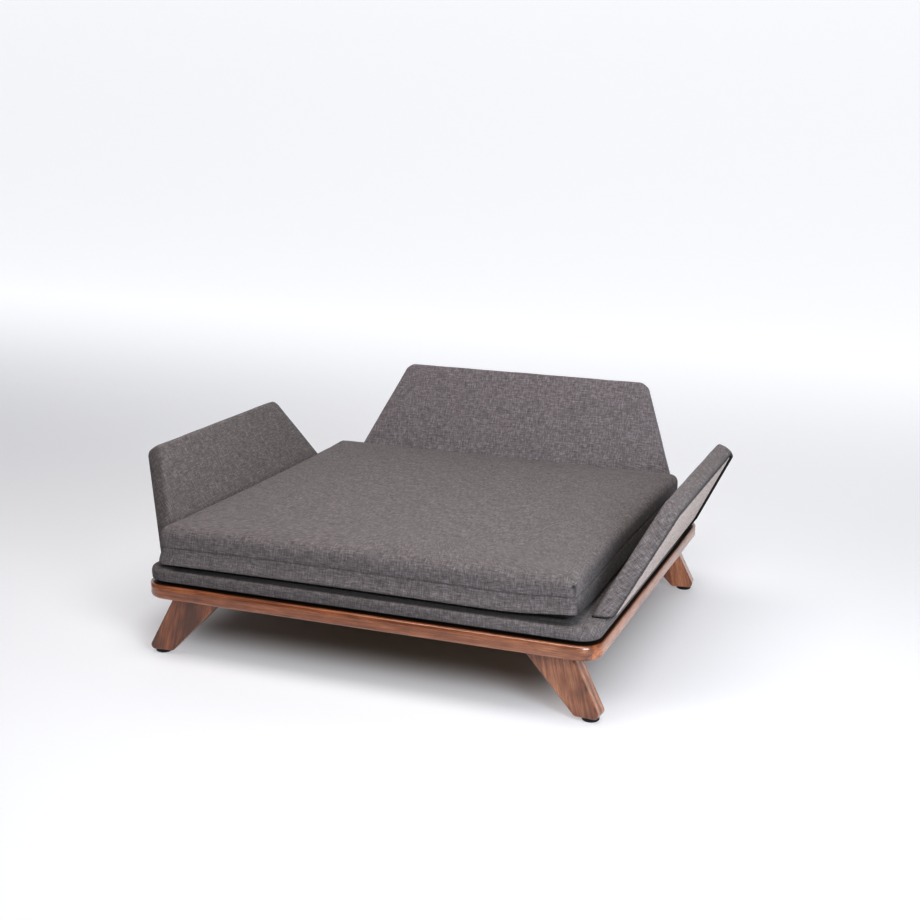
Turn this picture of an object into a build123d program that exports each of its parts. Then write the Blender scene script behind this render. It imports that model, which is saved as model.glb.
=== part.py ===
from build123d import *
import os
from math import atan, cos, degrees, radians, sin, sqrt, tan

# A low pet bed: a walnut frame on four splayed board legs, an upholstered platform,
# three padded wings that lean outwards, and a loose boxed cushion with a zip.
# Millimetres. The model is built about the middle of the frame with the floor at height
# zero. It is moved at the end, so that the origin is the middle of the whole bed's footprint.
# +X is the right-hand side seen from the open front, +Y is the back, +Z is up.

# Frame rails
frame_width = 600.0
frame_depth = 575.0
rail_width = 62.0
rail_thickness = 20.0
frame_corner_radius = 28.0
rail_top_round = 3.0
rail_bottom_round = 5.0
mitre_angle = 45.0
spline_length = 36.0
spline_width = 16.0
spline_thickness = 4.0

# Legs and glides
leg_height = 75.0
leg_thickness = 25.0
leg_top_width = 67.0
leg_foot_width = 34.0
leg_foot_reach = 38.5
leg_side_inset = 33.5
leg_front_inset = 20.5
leg_toe_angle = 6.0
leg_edge_round = 3.0
foot_corner_radius = 6.0
glide_height = 4.5
glide_diameter = 21.0
glide_lip = 1.2
nail_diameter = 3.0
nail_length = 14.0

# Platform
board_thickness = 15.0
rebate_height = 3.0
rebate_width = 14.0
pad_foam_thickness = 5.0
cover_thickness = 1.0
wadding_thickness = 2.0
pad_edge_inset = 2.5
pad_corner_radius = 26.0
pad_top_round = 5.0
pad_bottom_round = 2.5

# Wings
side_wing_lean = 27.0
back_wing_lean = 25.7
side_wing_foot_length = 490.0
side_wing_top_length = 336.0
side_wing_slant = 145.5
back_wing_foot_length = 541.0
back_wing_top_length = 391.0
back_wing_slant = 189.0
wing_overhang = 4.0
wing_corner_radius = 17.0
wing_foam_thickness = 8.0
wing_core_thickness = 12.0
panel_board_thickness = 2.0
wing_edge_padding = 7.0
wing_inner_round = 6.0
wing_outer_round = 3.0
seam_margin = 5.0
seam_gap = 1.5

# Wing brackets
bracket_width = 40.0
bracket_steel = 3.0
bracket_foot_length = 46.0
bracket_arm_length = 62.0
brackets_per_wing = 2
bracket_spread_share = 0.56

# Cushion
cushion_thickness = 54.0
cushion_seam_height = 23.5
cushion_corner_radius = 16.0
cushion_left_gap = 1.0
cushion_right_gap = 11.0
cushion_back_gap = 1.0
cushion_front_setback = 19.5
cushion_draw_in = 2.5
cushion_edge_lift = 10.0
cushion_foot_inset = 10.0
cushion_least_corner = 3.0
seam_groove = 0.8
soft_clearance = 0.3

# Zip at the back of the cushion
zip_length = 440.0
zip_tape_height = 22.0
zip_coil_height = 5.0
zip_coil_thickness = 1.6
zip_height = 27.0
slider_length = 11.0
slider_wall = 1.6
slider_clearance = 0.4
stop_length = 3.0

# Screws
screw_diameter = 4.0
screw_head_diameter = 8.0
leg_screw_diameter = 5.0
leg_screw_head_diameter = 10.0
leg_screw_length = 44.0
leg_screw_place = 30.5
leg_screw_spacing = 13.0
platform_screw_length = 30.0
platform_screws_per_side = 2
bracket_screw_diameter = 3.5
bracket_screw_head_diameter = 7.0
bracket_screw_head_height = 1.6
bracket_foot_screw_length = 13.0
bracket_arm_screw_length = 12.0
recess_width = 1.0
overrun = 20.0

# Turns in degrees
quarter_turn = 90.0
half_turn = 180.0

# Shares of the sizes that they follow
point_share = 0.25
recess_depth_share = 0.3
screw_place_share = 0.55

# Wing edges: share of the rounding passed in depth, and share of it that the outline is
# drawn in by, at the inner face and at the outer face
wing_inner_shares = ((0.0, 0.7), (0.25, 0.28), (1.0, 0.0))
wing_outer_shares = ((1.0, 0.0), (0.0, 0.6))

# Cushion sections from the bottom up: share of the thickness above the seam or of the
# seam height below it, and share of the edge rounding that the outline is drawn in by
cushion_low_shares = ((0.0, 1.0), (0.2, 0.4), (0.44, 0.0))
cushion_high_shares = (
    (0.5, 0.04), (0.76, 0.28), (0.9, 0.68), (0.955, 1.5), (0.98, 5.0), (1.0, 13.0),
)

# Heights and places that follow from the sizes above
rail_bottom = glide_height + leg_height
frame_top = rail_bottom + rail_thickness
pad_bottom = frame_top + rebate_height
board_top = frame_top + board_thickness
foam_top = board_top + pad_foam_thickness
seat_height = foam_top + cover_thickness
pad_width = frame_width - 2 * pad_edge_inset
pad_depth = frame_depth - 2 * pad_edge_inset
wing_thickness = (cover_thickness + wing_foam_thickness + wing_core_thickness
                  + panel_board_thickness + cover_thickness)
core_front = cover_thickness + wing_foam_thickness
core_back = core_front + wing_core_thickness
large = 4 * (frame_width + frame_depth)

os.makedirs("parts", exist_ok=True)
nodes = {}


def rounded_block(width, depth, corner, bottom, top):
    """An upright block with rounded corners in plan, between two heights."""
    return Pos(0, 0, bottom) * extrude(RectangleRounded(width, depth, corner), top - bottom)


def block(size_x, size_y, size_z, centre):
    return Pos(*centre) * Box(size_x, size_y, size_z)


def cut_away(solid, tools):
    """A solid less every solid in a list of shapes."""
    pieces = []
    for tool in tools:
        pieces += tool.solids()
    return solid - pieces


def round_rims(solid, top_radius, bottom_radius):
    """Rounds the rims of the highest and the lowest flat face."""
    faces = solid.faces().sort_by(Axis.Z)
    solid = fillet(faces[-1].outer_wire().edges(), top_radius)
    faces = solid.faces().sort_by(Axis.Z)
    return fillet(faces[0].outer_wire().edges(), bottom_radius)


def wood_screw(length, diameter, head_diameter):
    """A countersunk screw along Z: the head's face is at zero and the point hangs below."""
    head_height = (head_diameter - diameter) / 2
    point_height = length * point_share
    shank_height = length - head_height - point_height
    head = Pos(0, 0, -head_height / 2) * Cone(diameter / 2, head_diameter / 2, head_height)
    shank = Pos(0, 0, -head_height - shank_height / 2) * Cylinder(diameter / 2, shank_height)
    point_middle = -head_height - shank_height - point_height / 2
    point = Pos(0, 0, point_middle) * Cone(recess_width / 2, diameter / 2, point_height)
    return head + shank + point


def cross_recess(head_diameter):
    """The two crossed slots in a screw's head, as one solid to cut away."""
    slot_length = head_diameter * screw_place_share
    slot_depth = head_diameter * recess_depth_share
    slot = Pos(0, 0, -slot_depth / 2) * Box(slot_length, recess_width, slot_depth)
    return slot + Rot(0, 0, quarter_turn) * slot


def frame_rails():
    """The four rails: one rounded ring cut along its mitres, with slots for the splines."""
    ring = rounded_block(frame_width, frame_depth, frame_corner_radius, rail_bottom, frame_top)
    ring = round_rims(ring, rail_top_round, rail_bottom_round)
    hollow_height = rail_thickness + 2 * overrun
    rail_middle = rail_bottom + rail_thickness / 2
    ring -= block(frame_width - 2 * rail_width, frame_depth - 2 * rail_width, hollow_height,
                  (0, 0, rail_middle))
    half_width = frame_width / 2
    half_depth = frame_depth / 2
    outer_x = half_width + overrun
    outer_y = half_depth + overrun
    inner_x = half_width - rail_width - overrun
    inner_y = half_depth - rail_width - overrun
    front_plan = [(-outer_x, -outer_y), (outer_x, -outer_y), (inner_x, -inner_y), (-inner_x, -inner_y)]
    right_plan = [(outer_x, -outer_y), (outer_x, outer_y), (inner_x, inner_y), (inner_x, -inner_y)]
    plans = {
        "front_rail": front_plan,
        "back_rail": [(x, -y) for x, y in front_plan],
        "right_rail": right_plan,
        "left_rail": [(-x, y) for x, y in right_plan],
    }
    rails = {}
    for name, plan in plans.items():
        wedge_face = make_face(Polyline(*plan, close=True))
        wedge = extrude(wedge_face, hollow_height, dir=(0, 0, 1))
        rail = ring & (Pos(0, 0, rail_bottom - overrun) * wedge)
        rails[name] = cut_away(rail, corner_splines())
    return rails


def corner_splines():
    """Loose tongues that cross the four mitres at the middle of the rails' thickness."""
    middle = rail_width / 2
    height = rail_bottom + rail_thickness / 2
    tongues = []
    for side_x in (-1, 1):
        for side_y in (-1, 1):
            tongue = Box(spline_length, spline_width, spline_thickness)
            place_x = side_x * (frame_width / 2 - middle)
            place_y = side_y * (frame_depth / 2 - middle)
            turn = Rot(0, 0, -mitre_angle * side_x * side_y)
            tongues.append(Pos(place_x, place_y, height) * turn * tongue)
    return tongues


def leg_solid():
    """One leg seen from the front, with its outer side towards +X, its top at the rail's
    underside and its middle plane at zero. Local X is zero at the inner top corner."""
    outer_foot = leg_top_width + leg_foot_reach
    points = [(0, 0), (leg_top_width, 0), (outer_foot, -leg_height), (outer_foot - leg_foot_width, -leg_height)]
    outline = make_face(Polyline(*points, close=True))
    foot_corners = outline.vertices().sort_by(Axis.Y)[:2]
    outline = fillet(foot_corners, foot_corner_radius)
    leg = Rot(quarter_turn, 0, 0) * extrude(outline, leg_thickness / 2, both=True)
    faces = leg.faces().sort_by(Axis.Y)
    long_edges = []
    for face in (faces[0], faces[-1]):
        for edge in face.edges():
            if edge.center().Z < -leg_edge_round:
                long_edges.append(edge)
    leg = fillet(long_edges, leg_edge_round)
    return Pos(-leg_top_width / 2, 0, rail_bottom) * leg


leg_corners = {
    "front_left": (-1, -1),
    "front_right": (1, -1),
    "back_left": (-1, 1),
    "back_right": (1, 1),
}


def at_leg(solid, side_x, side_y):
    """Carries a solid from the leg's own place to one corner, toed out. A leg is the same on
    both sides of its middle plane, so a turn is enough."""
    middle_x = frame_width / 2 - leg_side_inset - leg_top_width / 2
    middle_y = frame_depth / 2 - leg_front_inset - leg_thickness / 2
    facing = 0 if side_x > 0 else half_turn
    turn = Rot(0, 0, facing + leg_toe_angle * side_x * side_y)
    return Pos(side_x * middle_x, side_y * middle_y, 0) * turn * solid


def leg_screw_set():
    """Two screws that run down through the rail into the leg's widest part."""
    first = leg_screw_place - leg_top_width / 2
    screws = []
    for place in (first, first + leg_screw_spacing):
        screw = wood_screw(leg_screw_length, leg_screw_diameter, leg_screw_head_diameter)
        screws.append(Pos(place, 0, frame_top) * screw)
    return screws


def foot_middle():
    """Local X of the middle of the foot, measured from the middle of the leg's top."""
    return leg_top_width / 2 + leg_foot_reach - leg_foot_width / 2


def glide_solid():
    """A plastic glide: a low disc with a narrower face on the floor."""
    lip = Pos(0, 0, glide_lip / 2) * Cone(glide_diameter / 2 - glide_lip, glide_diameter / 2, glide_lip)
    disc_height = glide_height - glide_lip
    disc = Pos(0, 0, glide_lip + disc_height / 2) * Cylinder(glide_diameter / 2, disc_height)
    return Pos(foot_middle(), 0, 0) * (lip + disc)


def nail_solid():
    """The glide's nail, from the disc up into the foot."""
    bottom = glide_height / 2
    point_height = nail_length * point_share
    shank_height = nail_length - point_height
    shank = Pos(0, 0, bottom + shank_height / 2) * Cylinder(nail_diameter / 2, shank_height)
    point_middle = bottom + shank_height + point_height / 2
    point = Pos(0, 0, point_middle) * Cone(nail_diameter / 2, recess_width / 2, point_height)
    return Pos(foot_middle(), 0, 0) * (shank + point)


def wing_data(name):
    """A wing's sizes and its place: the middle of the inner face's foot line on the seat."""
    if name == "back":
        lean = radians(back_wing_lean)
        sizes = (back_wing_foot_length, back_wing_top_length, back_wing_slant)
        foot = frame_depth / 2 + wing_overhang - wing_thickness / cos(lean)
        origin = (0, foot, seat_height)
        across = (1, 0, 0)
        inward = (0, -cos(lean), sin(lean))
    else:
        side = 1 if name == "right" else -1
        lean = radians(side_wing_lean)
        sizes = (side_wing_foot_length, side_wing_top_length, side_wing_slant)
        foot = frame_width / 2 + wing_overhang - wing_thickness / cos(lean)
        origin = (side * foot, 0, seat_height)
        across = (0, -side, 0)
        inward = (-side * cos(lean), 0, sin(lean))
    place = Plane(origin=origin, x_dir=across, z_dir=inward).location
    return {"place": place, "lean": lean, "sizes": sizes, "foot": foot}


def wing_outline(wing, inset):
    """The wing's trapezoid with rounded top corners, drawn in by an inset. It runs on below
    the foot line, where it is cut off level later."""
    foot_length, top_length, slant = wing["sizes"]
    slope = atan((foot_length - top_length) / 2 / slant)
    low = -overrun
    high = slant - inset
    low_x = foot_length / 2 - low * tan(slope) - inset / cos(slope)
    high_x = foot_length / 2 - high * tan(slope) - inset / cos(slope)
    radius = max(wing_corner_radius - inset, wing_outer_round)
    run = radius * tan((radians(quarter_turn) - slope) / 2)
    bisector = sqrt(cos(slope) ** 2 + (1 + sin(slope)) ** 2)
    side_point = (high_x + run * sin(slope), high - run * cos(slope))
    top_point = (high_x - run, high)
    arc_point = (top_point[0] + radius * cos(slope) / bisector,
                 high - radius + radius * (1 + sin(slope)) / bisector)

    def flip(point):
        return (-point[0], point[1])

    lines = [
        Line((-low_x, low), (low_x, low)),
        Line((low_x, low), side_point),
        ThreePointArc(side_point, arc_point, top_point),
        Line(top_point, flip(top_point)),
        ThreePointArc(flip(top_point), flip(arc_point), flip(side_point)),
        Line(flip(side_point), (-low_x, low)),
    ]
    return make_face(lines)


def wing_layer(wing, steps):
    """A ruled loft through (depth behind the inner face, inset) steps, cut level at the seat."""
    slices = [Pos(0, 0, -depth) * wing_outline(wing, inset) for depth, inset in steps]
    solid = wing["place"] * loft(slices, ruled=True)
    return solid & (Pos(0, 0, seat_height + large / 2) * Box(large, large, large))


def padded_steps(skin):
    """Depths and insets of the wing's padded outside, drawn in by a skin's thickness."""
    steps = []
    for depth_share, inset_share in wing_inner_shares:
        steps.append((skin + depth_share * wing_inner_round, skin + inset_share * wing_inner_round))
    for depth_share, inset_share in wing_outer_shares:
        depth = wing_thickness - skin - depth_share * wing_outer_round
        steps.append((depth, skin + inset_share * wing_outer_round))
    return steps


def bracket_solid(wing):
    """An angle bracket bent from flat steel. In its own plane, X points outwards across the
    bed and Y up. The bend sits on the board where the core's inner face comes down to it."""
    lean = wing["lean"]
    face_at_seat = wing["foot"] + core_front / cos(lean)
    bend = face_at_seat - (seat_height - board_top) * tan(lean)
    slip = bracket_steel * (1 - sin(lean)) * tan(lean) - bracket_steel * cos(lean)
    arm_end = (bend + bracket_arm_length * sin(lean), board_top + bracket_arm_length * cos(lean))
    arm_inner = (arm_end[0] - bracket_steel * cos(lean), arm_end[1] + bracket_steel * sin(lean))
    points = [
        (bend - bracket_foot_length, board_top),
        (bend, board_top),
        arm_end,
        arm_inner,
        (bend + slip, board_top + bracket_steel),
        (bend - bracket_foot_length, board_top + bracket_steel),
    ]
    profile = make_face(Polyline(*points, close=True))
    upright = Rot(quarter_turn, 0, 0) * extrude(profile, bracket_width / 2, both=True)
    return upright, bend


def bracket_screws(wing, bend):
    """The bracket's screws: two down into the board, two into the wing's core."""
    lean = wing["lean"]
    foot_place = bend - bracket_foot_length * screw_place_share
    arm_place = bracket_arm_length * (screw_place_share + point_share / 2)
    arm_x = bend + arm_place * sin(lean) - bracket_steel * cos(lean)
    arm_z = board_top + arm_place * cos(lean) + bracket_steel * sin(lean)
    into_core = Rot(0, degrees(lean) - quarter_turn, 0) * pan_screw(bracket_arm_screw_length)
    into_board = pan_screw(bracket_foot_screw_length)
    screws = []
    for side in (-1, 1):
        across = side * bracket_width * point_share
        screws.append(Pos(foot_place, across, board_top + bracket_steel) * into_board)
        screws.append(Pos(arm_x, across, arm_z) * into_core)
    return screws


def pan_screw(length):
    """A flat-headed screw along Z: the head stands on zero and the shank hangs below."""
    radius = bracket_screw_diameter / 2
    head = Cylinder(bracket_screw_head_diameter / 2, bracket_screw_head_height)
    point_height = length * point_share
    shank_height = length - point_height
    shank = Pos(0, 0, -shank_height / 2) * Cylinder(radius, shank_height)
    point = Cone(recess_width / 2, radius, point_height)
    screw = Pos(0, 0, bracket_screw_head_height / 2) * head + shank
    return screw + Pos(0, 0, -shank_height - point_height / 2) * point


wing_turns = {"left": half_turn, "right": 0, "back": quarter_turn}


def wing_hardware(name):
    """All of a wing's brackets and their screws, in the bed's own frame."""
    wing = wing_data(name)
    bracket, bend = bracket_solid(wing)
    screws = bracket_screws(wing, bend)
    spread = wing["sizes"][0] * bracket_spread_share
    drilled = cut_away(bracket, screws)
    brackets = []
    all_screws = []
    for number in range(brackets_per_wing):
        along = spread * number / (brackets_per_wing - 1) - spread / 2
        place = Rot(0, 0, wing_turns[name]) * Pos(0, along, 0)
        brackets.append(place * drilled)
        all_screws += [place * screw for screw in screws]
    return brackets, all_screws


def wing_pieces(name, brackets, screws):
    """The wing's core, foam, wrap-round cover and covered back panel."""
    wing = wing_data(name)
    outside = wing_layer(wing, padded_steps(0))
    inside = wing_layer(wing, padded_steps(cover_thickness))
    recess = wing_layer(wing, [(core_back, seam_margin), (wing_thickness + cover_thickness, seam_margin)])
    core = wing_layer(wing, [(core_front, wing_edge_padding), (core_back, wing_edge_padding)])
    panel_edge = seam_margin + seam_gap
    panel = wing_layer(wing, [(core_back, panel_edge), (wing_thickness - cover_thickness, panel_edge),
                              (wing_thickness, panel_edge + cover_thickness)])
    panel_board = wing_layer(wing, [(core_back, panel_edge + cover_thickness),
                                    (wing_thickness - cover_thickness, panel_edge + cover_thickness)])
    foam = inside - recess - core
    return {
        f"{name}_wing_core": cut_away(core, screws),
        f"{name}_wing_foam": cut_away(foam, brackets + screws),
        f"{name}_wing_cover": outside - inside - recess,
        f"{name}_wing_panel_board": panel_board,
        f"{name}_wing_panel_cover": panel - panel_board,
    }


def platform_pieces(hardware):
    """The platform board with its rebated underside, the foam and the cover round both."""
    outside = rounded_block(pad_width, pad_depth, pad_corner_radius, pad_bottom, seat_height)
    outside = round_rims(outside, pad_top_round, pad_bottom_round)
    skin = 2 * cover_thickness
    inside = rounded_block(pad_width - skin, pad_depth - skin, pad_corner_radius - cover_thickness,
                           pad_bottom + cover_thickness, foam_top)
    inside = round_rims(inside, pad_top_round - cover_thickness, pad_bottom_round - cover_thickness)
    edge = cover_thickness + wadding_thickness
    board_width = pad_width - 2 * edge
    board_depth = pad_depth - 2 * edge
    board_corner = pad_corner_radius - edge
    step_width = board_width - 2 * rebate_width
    step_depth = board_depth - 2 * rebate_width
    step_corner = board_corner - rebate_width
    upper = rounded_block(board_width, board_depth, board_corner, pad_bottom + cover_thickness, board_top)
    lower = rounded_block(step_width, step_depth, step_corner, frame_top, board_top)
    board = upper + lower
    cover = cut_away(outside - inside - lower, hardware)
    foam = cut_away(inside - board, hardware)
    return board, foam, cover


def platform_screw_set():
    """Screws up through the four rails into the platform board."""
    screws = []
    front_y = frame_depth / 2 - rail_width / 2
    side_x = frame_width / 2 - rail_width / 2
    upward = Pos(0, 0, rail_bottom) * Rot(half_turn, 0, 0)
    screw = wood_screw(platform_screw_length, screw_diameter, screw_head_diameter)
    for side in (-1, 1):
        for number in range(platform_screws_per_side):
            step = (2 * number + 1 - platform_screws_per_side) / (2 * platform_screws_per_side)
            along_x = step * (frame_width - 2 * rail_width)
            along_y = step * (frame_depth - 2 * rail_width)
            screws.append(Pos(along_x, side * front_y, 0) * upward * screw)
            screws.append(Pos(side * side_x, along_y, 0) * upward * screw)
    return screws


def cushion_box():
    """The cushion's plan: left, right, front and back edges at its fullest height."""
    full_height = seat_height + soft_clearance + cushion_edge_lift
    side_wing = wing_data("right")
    back_wing = wing_data("back")
    side_reach = side_wing["foot"] + (full_height - seat_height) * tan(side_wing["lean"])
    back_reach = back_wing["foot"] + (full_height - seat_height) * tan(back_wing["lean"])
    left = -side_reach + cushion_left_gap
    right = side_reach - cushion_right_gap
    front = -pad_depth / 2 + cushion_front_setback
    back = back_reach - cushion_back_gap
    return left, right, front, back


def cushion_outline(height, inset, pull):
    """A rounded rectangle drawn in by an inset. The front, left and right sides bow inwards
    by a pull at their middles; the back side, which holds the zip, is straight."""
    left, right, front, back = cushion_box()
    x0 = left + inset
    x1 = right - inset
    y0 = front + inset
    y1 = back - inset
    corner = max(cushion_corner_radius - inset / 2, cushion_least_corner)
    bite = corner * (1 - sqrt(0.5))
    middle_x = (x0 + x1) / 2
    middle_y = (y0 + y1) / 2
    lines = [
        ThreePointArc((x0 + corner, y0), (middle_x, y0 + pull), (x1 - corner, y0)),
        ThreePointArc((x1 - corner, y0), (x1 - bite, y0 + bite), (x1, y0 + corner)),
        ThreePointArc((x1, y0 + corner), (x1 - pull, middle_y), (x1, y1 - corner)),
        ThreePointArc((x1, y1 - corner), (x1 - bite, y1 - bite), (x1 - corner, y1)),
        Line((x1 - corner, y1), (x0 + corner, y1)),
        ThreePointArc((x0 + corner, y1), (x0 + bite, y1 - bite), (x0, y1 - corner)),
        ThreePointArc((x0, y1 - corner), (x0 + pull, middle_y), (x0, y0 + corner)),
        ThreePointArc((x0, y0 + corner), (x0 + bite, y0 + bite), (x0 + corner, y0)),
    ]
    return Pos(0, 0, height) * make_face(lines)


def cushion_form(skin):
    """The crowned cushion as a ruled loft, drawn in all round by a skin's thickness."""
    bottom = seat_height + soft_clearance
    seam = bottom + cushion_seam_height
    above = cushion_thickness - cushion_seam_height
    sections = []
    for rise_share, inset_share in cushion_low_shares:
        sections.append((bottom + rise_share * cushion_seam_height, inset_share, 1))
    sections.append((seam - seam_groove, 0, 1))
    sections.append((seam, seam_groove / cushion_foot_inset, 1))
    sections.append((seam + seam_groove, 0, 1))
    for rise_share, inset_share in cushion_high_shares:
        sections.append((seam + rise_share * above, inset_share, 1))
    slices = []
    lowest = sections[0][0]
    highest = sections[-1][0]
    for height, inset_share, pull_share in sections:
        squeezed = lowest + skin + (height - lowest) * (highest - lowest - 2 * skin) / (highest - lowest)
        inset = inset_share * cushion_foot_inset + skin
        slices.append(cushion_outline(squeezed, inset, pull_share * cushion_draw_in))
    return loft(slices, ruled=True)


def zip_frame():
    """The zip's middle on the cushion's straight back side: X, Y and height."""
    left, right, front, back = cushion_box()
    return (left + right) / 2, back, seat_height + soft_clearance + zip_height


def slider_solid():
    """The zip's slider: two plates in front of and beside the coil, open towards the tape."""
    middle_x, face_y, height = zip_frame()
    start_x = middle_x - zip_length / 2 + stop_length + slider_clearance + slider_length / 2
    outer_height = zip_coil_height + 2 * (slider_clearance + slider_wall)
    depth = zip_coil_thickness + slider_clearance + slider_wall
    body = block(slider_length, depth, outer_height, (start_x, face_y + slider_clearance + depth / 2, height))
    hollow_height = zip_coil_height + 2 * slider_clearance
    hollow_depth = zip_coil_thickness + slider_clearance
    hollow = block(slider_length + overrun, hollow_depth, hollow_height,
                   (start_x, face_y + hollow_depth / 2, height))
    return body - hollow


def add(name, *solids):
    """Keeps a node: one solid, or a group of like solids."""
    nodes[name] = solids


# Frame, legs and their fasteners
platform_screws = platform_screw_set()
leg_screws = []
nails = []
for name, (side_x, side_y) in leg_corners.items():
    own_screws = leg_screw_set()
    nail = nail_solid()
    leg = cut_away(leg_solid(), own_screws + [nail])
    glide = cut_away(glide_solid(), [nail])
    add(f"{name}_leg", at_leg(leg, side_x, side_y))
    add(f"{name}_glide", at_leg(glide, side_x, side_y))
    nails.append(at_leg(nail, side_x, side_y))
    leg_screws += [at_leg(screw, side_x, side_y) for screw in own_screws]
for name, rail in frame_rails().items():
    add(name, cut_away(rail, platform_screws + leg_screws))
add("corner_splines", *corner_splines())
add("glide_nails", *nails)
add("leg_screws", *leg_screws)

# Wings with their brackets
hardware = []
board_screws = list(platform_screws)
for name in wing_turns:
    brackets, screws = wing_hardware(name)
    hardware += brackets + screws
    board_screws += screws
    for piece_name, piece in wing_pieces(name, brackets, screws).items():
        add(piece_name, piece)
    add(f"{name}_wing_brackets", *brackets)
    add(f"{name}_wing_bracket_screws", *screws)

# Platform
board, platform_foam, platform_cover = platform_pieces(hardware)
add("platform_board", cut_away(board, board_screws))
add("platform_foam", platform_foam)
add("platform_cover", platform_cover)
recessed = []
for screw in platform_screws:
    middle = screw.bounding_box().center()
    upward = Pos(middle.X, middle.Y, rail_bottom) * Rot(half_turn, 0, 0)
    recessed.append(screw - upward * cross_recess(screw_head_diameter))
add("platform_screws", *recessed)

# Cushion with its zip
zip_x, zip_y, zip_z = zip_frame()
cushion_inside = cushion_form(cover_thickness)
cover_skin = cushion_form(0) - cushion_inside
tape_zone = block(zip_length, overrun, zip_tape_height, (zip_x, zip_y, zip_z))
coil_middle = (zip_x, zip_y + zip_coil_thickness / 2, zip_z)
add("cushion_foam", cushion_inside)
add("cushion_cover", cover_skin - tape_zone)
add("zip_tape", cover_skin & tape_zone)
add("zip_coil", block(zip_length, zip_coil_thickness, zip_coil_height, coil_middle))
add("zip_slider", slider_solid())

# The origin is moved to the middle of the whole bed's footprint
boxes = [solid.bounding_box() for solids in nodes.values() for solid in solids]
left_end = min(box.min.X for box in boxes)
right_end = max(box.max.X for box in boxes)
front_end = min(box.min.Y for box in boxes)
back_end = max(box.max.Y for box in boxes)
shift = Pos(-(left_end + right_end) / 2, -(front_end + back_end) / 2, 0)
print("moved by", shift.position, "overall", right_end - left_end, back_end - front_end)
print("zip slider travel", zip_length - 2 * stop_length - 2 * slider_clearance - slider_length)
print("cushion plan", cushion_box(), "seat", seat_height)
for name, solids in nodes.items():
    moved = []
    for solid in solids:
        moved += (shift * solid).solids()
    export_step(moved[0] if len(moved) == 1 else Compound(children=moved), f"parts/{name}.step")
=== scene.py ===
# Low pet bed in a pale studio: walnut frame, linen-covered platform and wings, loose boxed cushion.
import math

import bmesh
import bpy
import numpy as np
from mathutils import Matrix, Vector


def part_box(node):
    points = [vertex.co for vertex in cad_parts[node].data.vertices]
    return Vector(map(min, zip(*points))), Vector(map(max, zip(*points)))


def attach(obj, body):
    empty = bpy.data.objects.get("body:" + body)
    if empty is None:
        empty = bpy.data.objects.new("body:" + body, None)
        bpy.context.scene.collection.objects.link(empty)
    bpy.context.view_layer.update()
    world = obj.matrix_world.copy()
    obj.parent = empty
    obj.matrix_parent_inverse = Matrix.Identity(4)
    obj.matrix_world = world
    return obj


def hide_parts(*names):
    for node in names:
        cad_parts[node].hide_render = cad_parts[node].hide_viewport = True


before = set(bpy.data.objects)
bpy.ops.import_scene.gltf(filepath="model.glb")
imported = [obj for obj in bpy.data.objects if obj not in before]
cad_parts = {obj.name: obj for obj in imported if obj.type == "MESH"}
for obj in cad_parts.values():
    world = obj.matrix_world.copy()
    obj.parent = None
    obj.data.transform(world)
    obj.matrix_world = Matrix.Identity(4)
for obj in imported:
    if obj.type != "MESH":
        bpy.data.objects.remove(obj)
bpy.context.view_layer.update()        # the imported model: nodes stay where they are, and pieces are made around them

millimetre = 0.001


def boxOf(node):
    low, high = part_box(node)
    return np.array(low), np.array(high)


# Sizes and heights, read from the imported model
railHigh = boxOf("right_rail")[1]
frontEdge = boxOf("front_rail")[0][1]
backEdge = boxOf("back_rail")[1][1]
padLow, padHigh = boxOf("platform_cover")
cushionLow, cushionHigh = boxOf("cushion_cover")
halfWidth = railHigh[0]
halfDepth = (backEdge - frontEdge) / 2
middleY = (backEdge + frontEdge) / 2
frameTop = railHigh[2]
seatHeight = padHigh[2]
padCorner = 26 * millimetre      # the platform's corner radius, seen from above


# Mesh making

def gridFaces(rows, columns, ring=False):
    # Quads between neighbouring rows and columns of a grid of points. In a ring the last
    # column is followed by the first.
    row = np.arange(rows - 1)[:, None] * columns
    column = np.arange(columns if ring else columns - 1)[None]
    after = (column + 1) % columns
    corners = [row + column, row + after, row + columns + after, row + columns + column]
    return np.stack(corners, axis=-1).reshape(-1, 4)


def newMesh(name, points, faces):
    mesh = bpy.data.meshes.new(name)
    mesh.from_pydata(points.reshape(-1, 3).tolist(), [], faces)
    return mesh


def newObject(name, data):
    made = bpy.data.objects.new(name, data)
    bpy.context.scene.collection.objects.link(made)
    return made


def smoothFaces(mesh):
    mesh.polygons.foreach_set("use_smooth", np.ones(len(mesh.polygons), bool))
    mesh.update()


def finishMesh(mesh, weld):
    # Welds seams and poles, and points every face outwards.
    work = bmesh.new()
    work.from_mesh(mesh)
    bmesh.ops.remove_doubles(work, verts=work.verts, dist=weld)
    bmesh.ops.dissolve_degenerate(work, edges=work.edges, dist=weld / 10)
    bmesh.ops.recalc_face_normals(work, faces=work.faces)
    work.to_mesh(mesh)
    work.free()
    smoothFaces(mesh)


def addPiece(name, mesh, body, material):
    piece = newObject(name, mesh)
    mesh.materials.clear()
    mesh.materials.append(material)
    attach(piece, body)
    return piece


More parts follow.
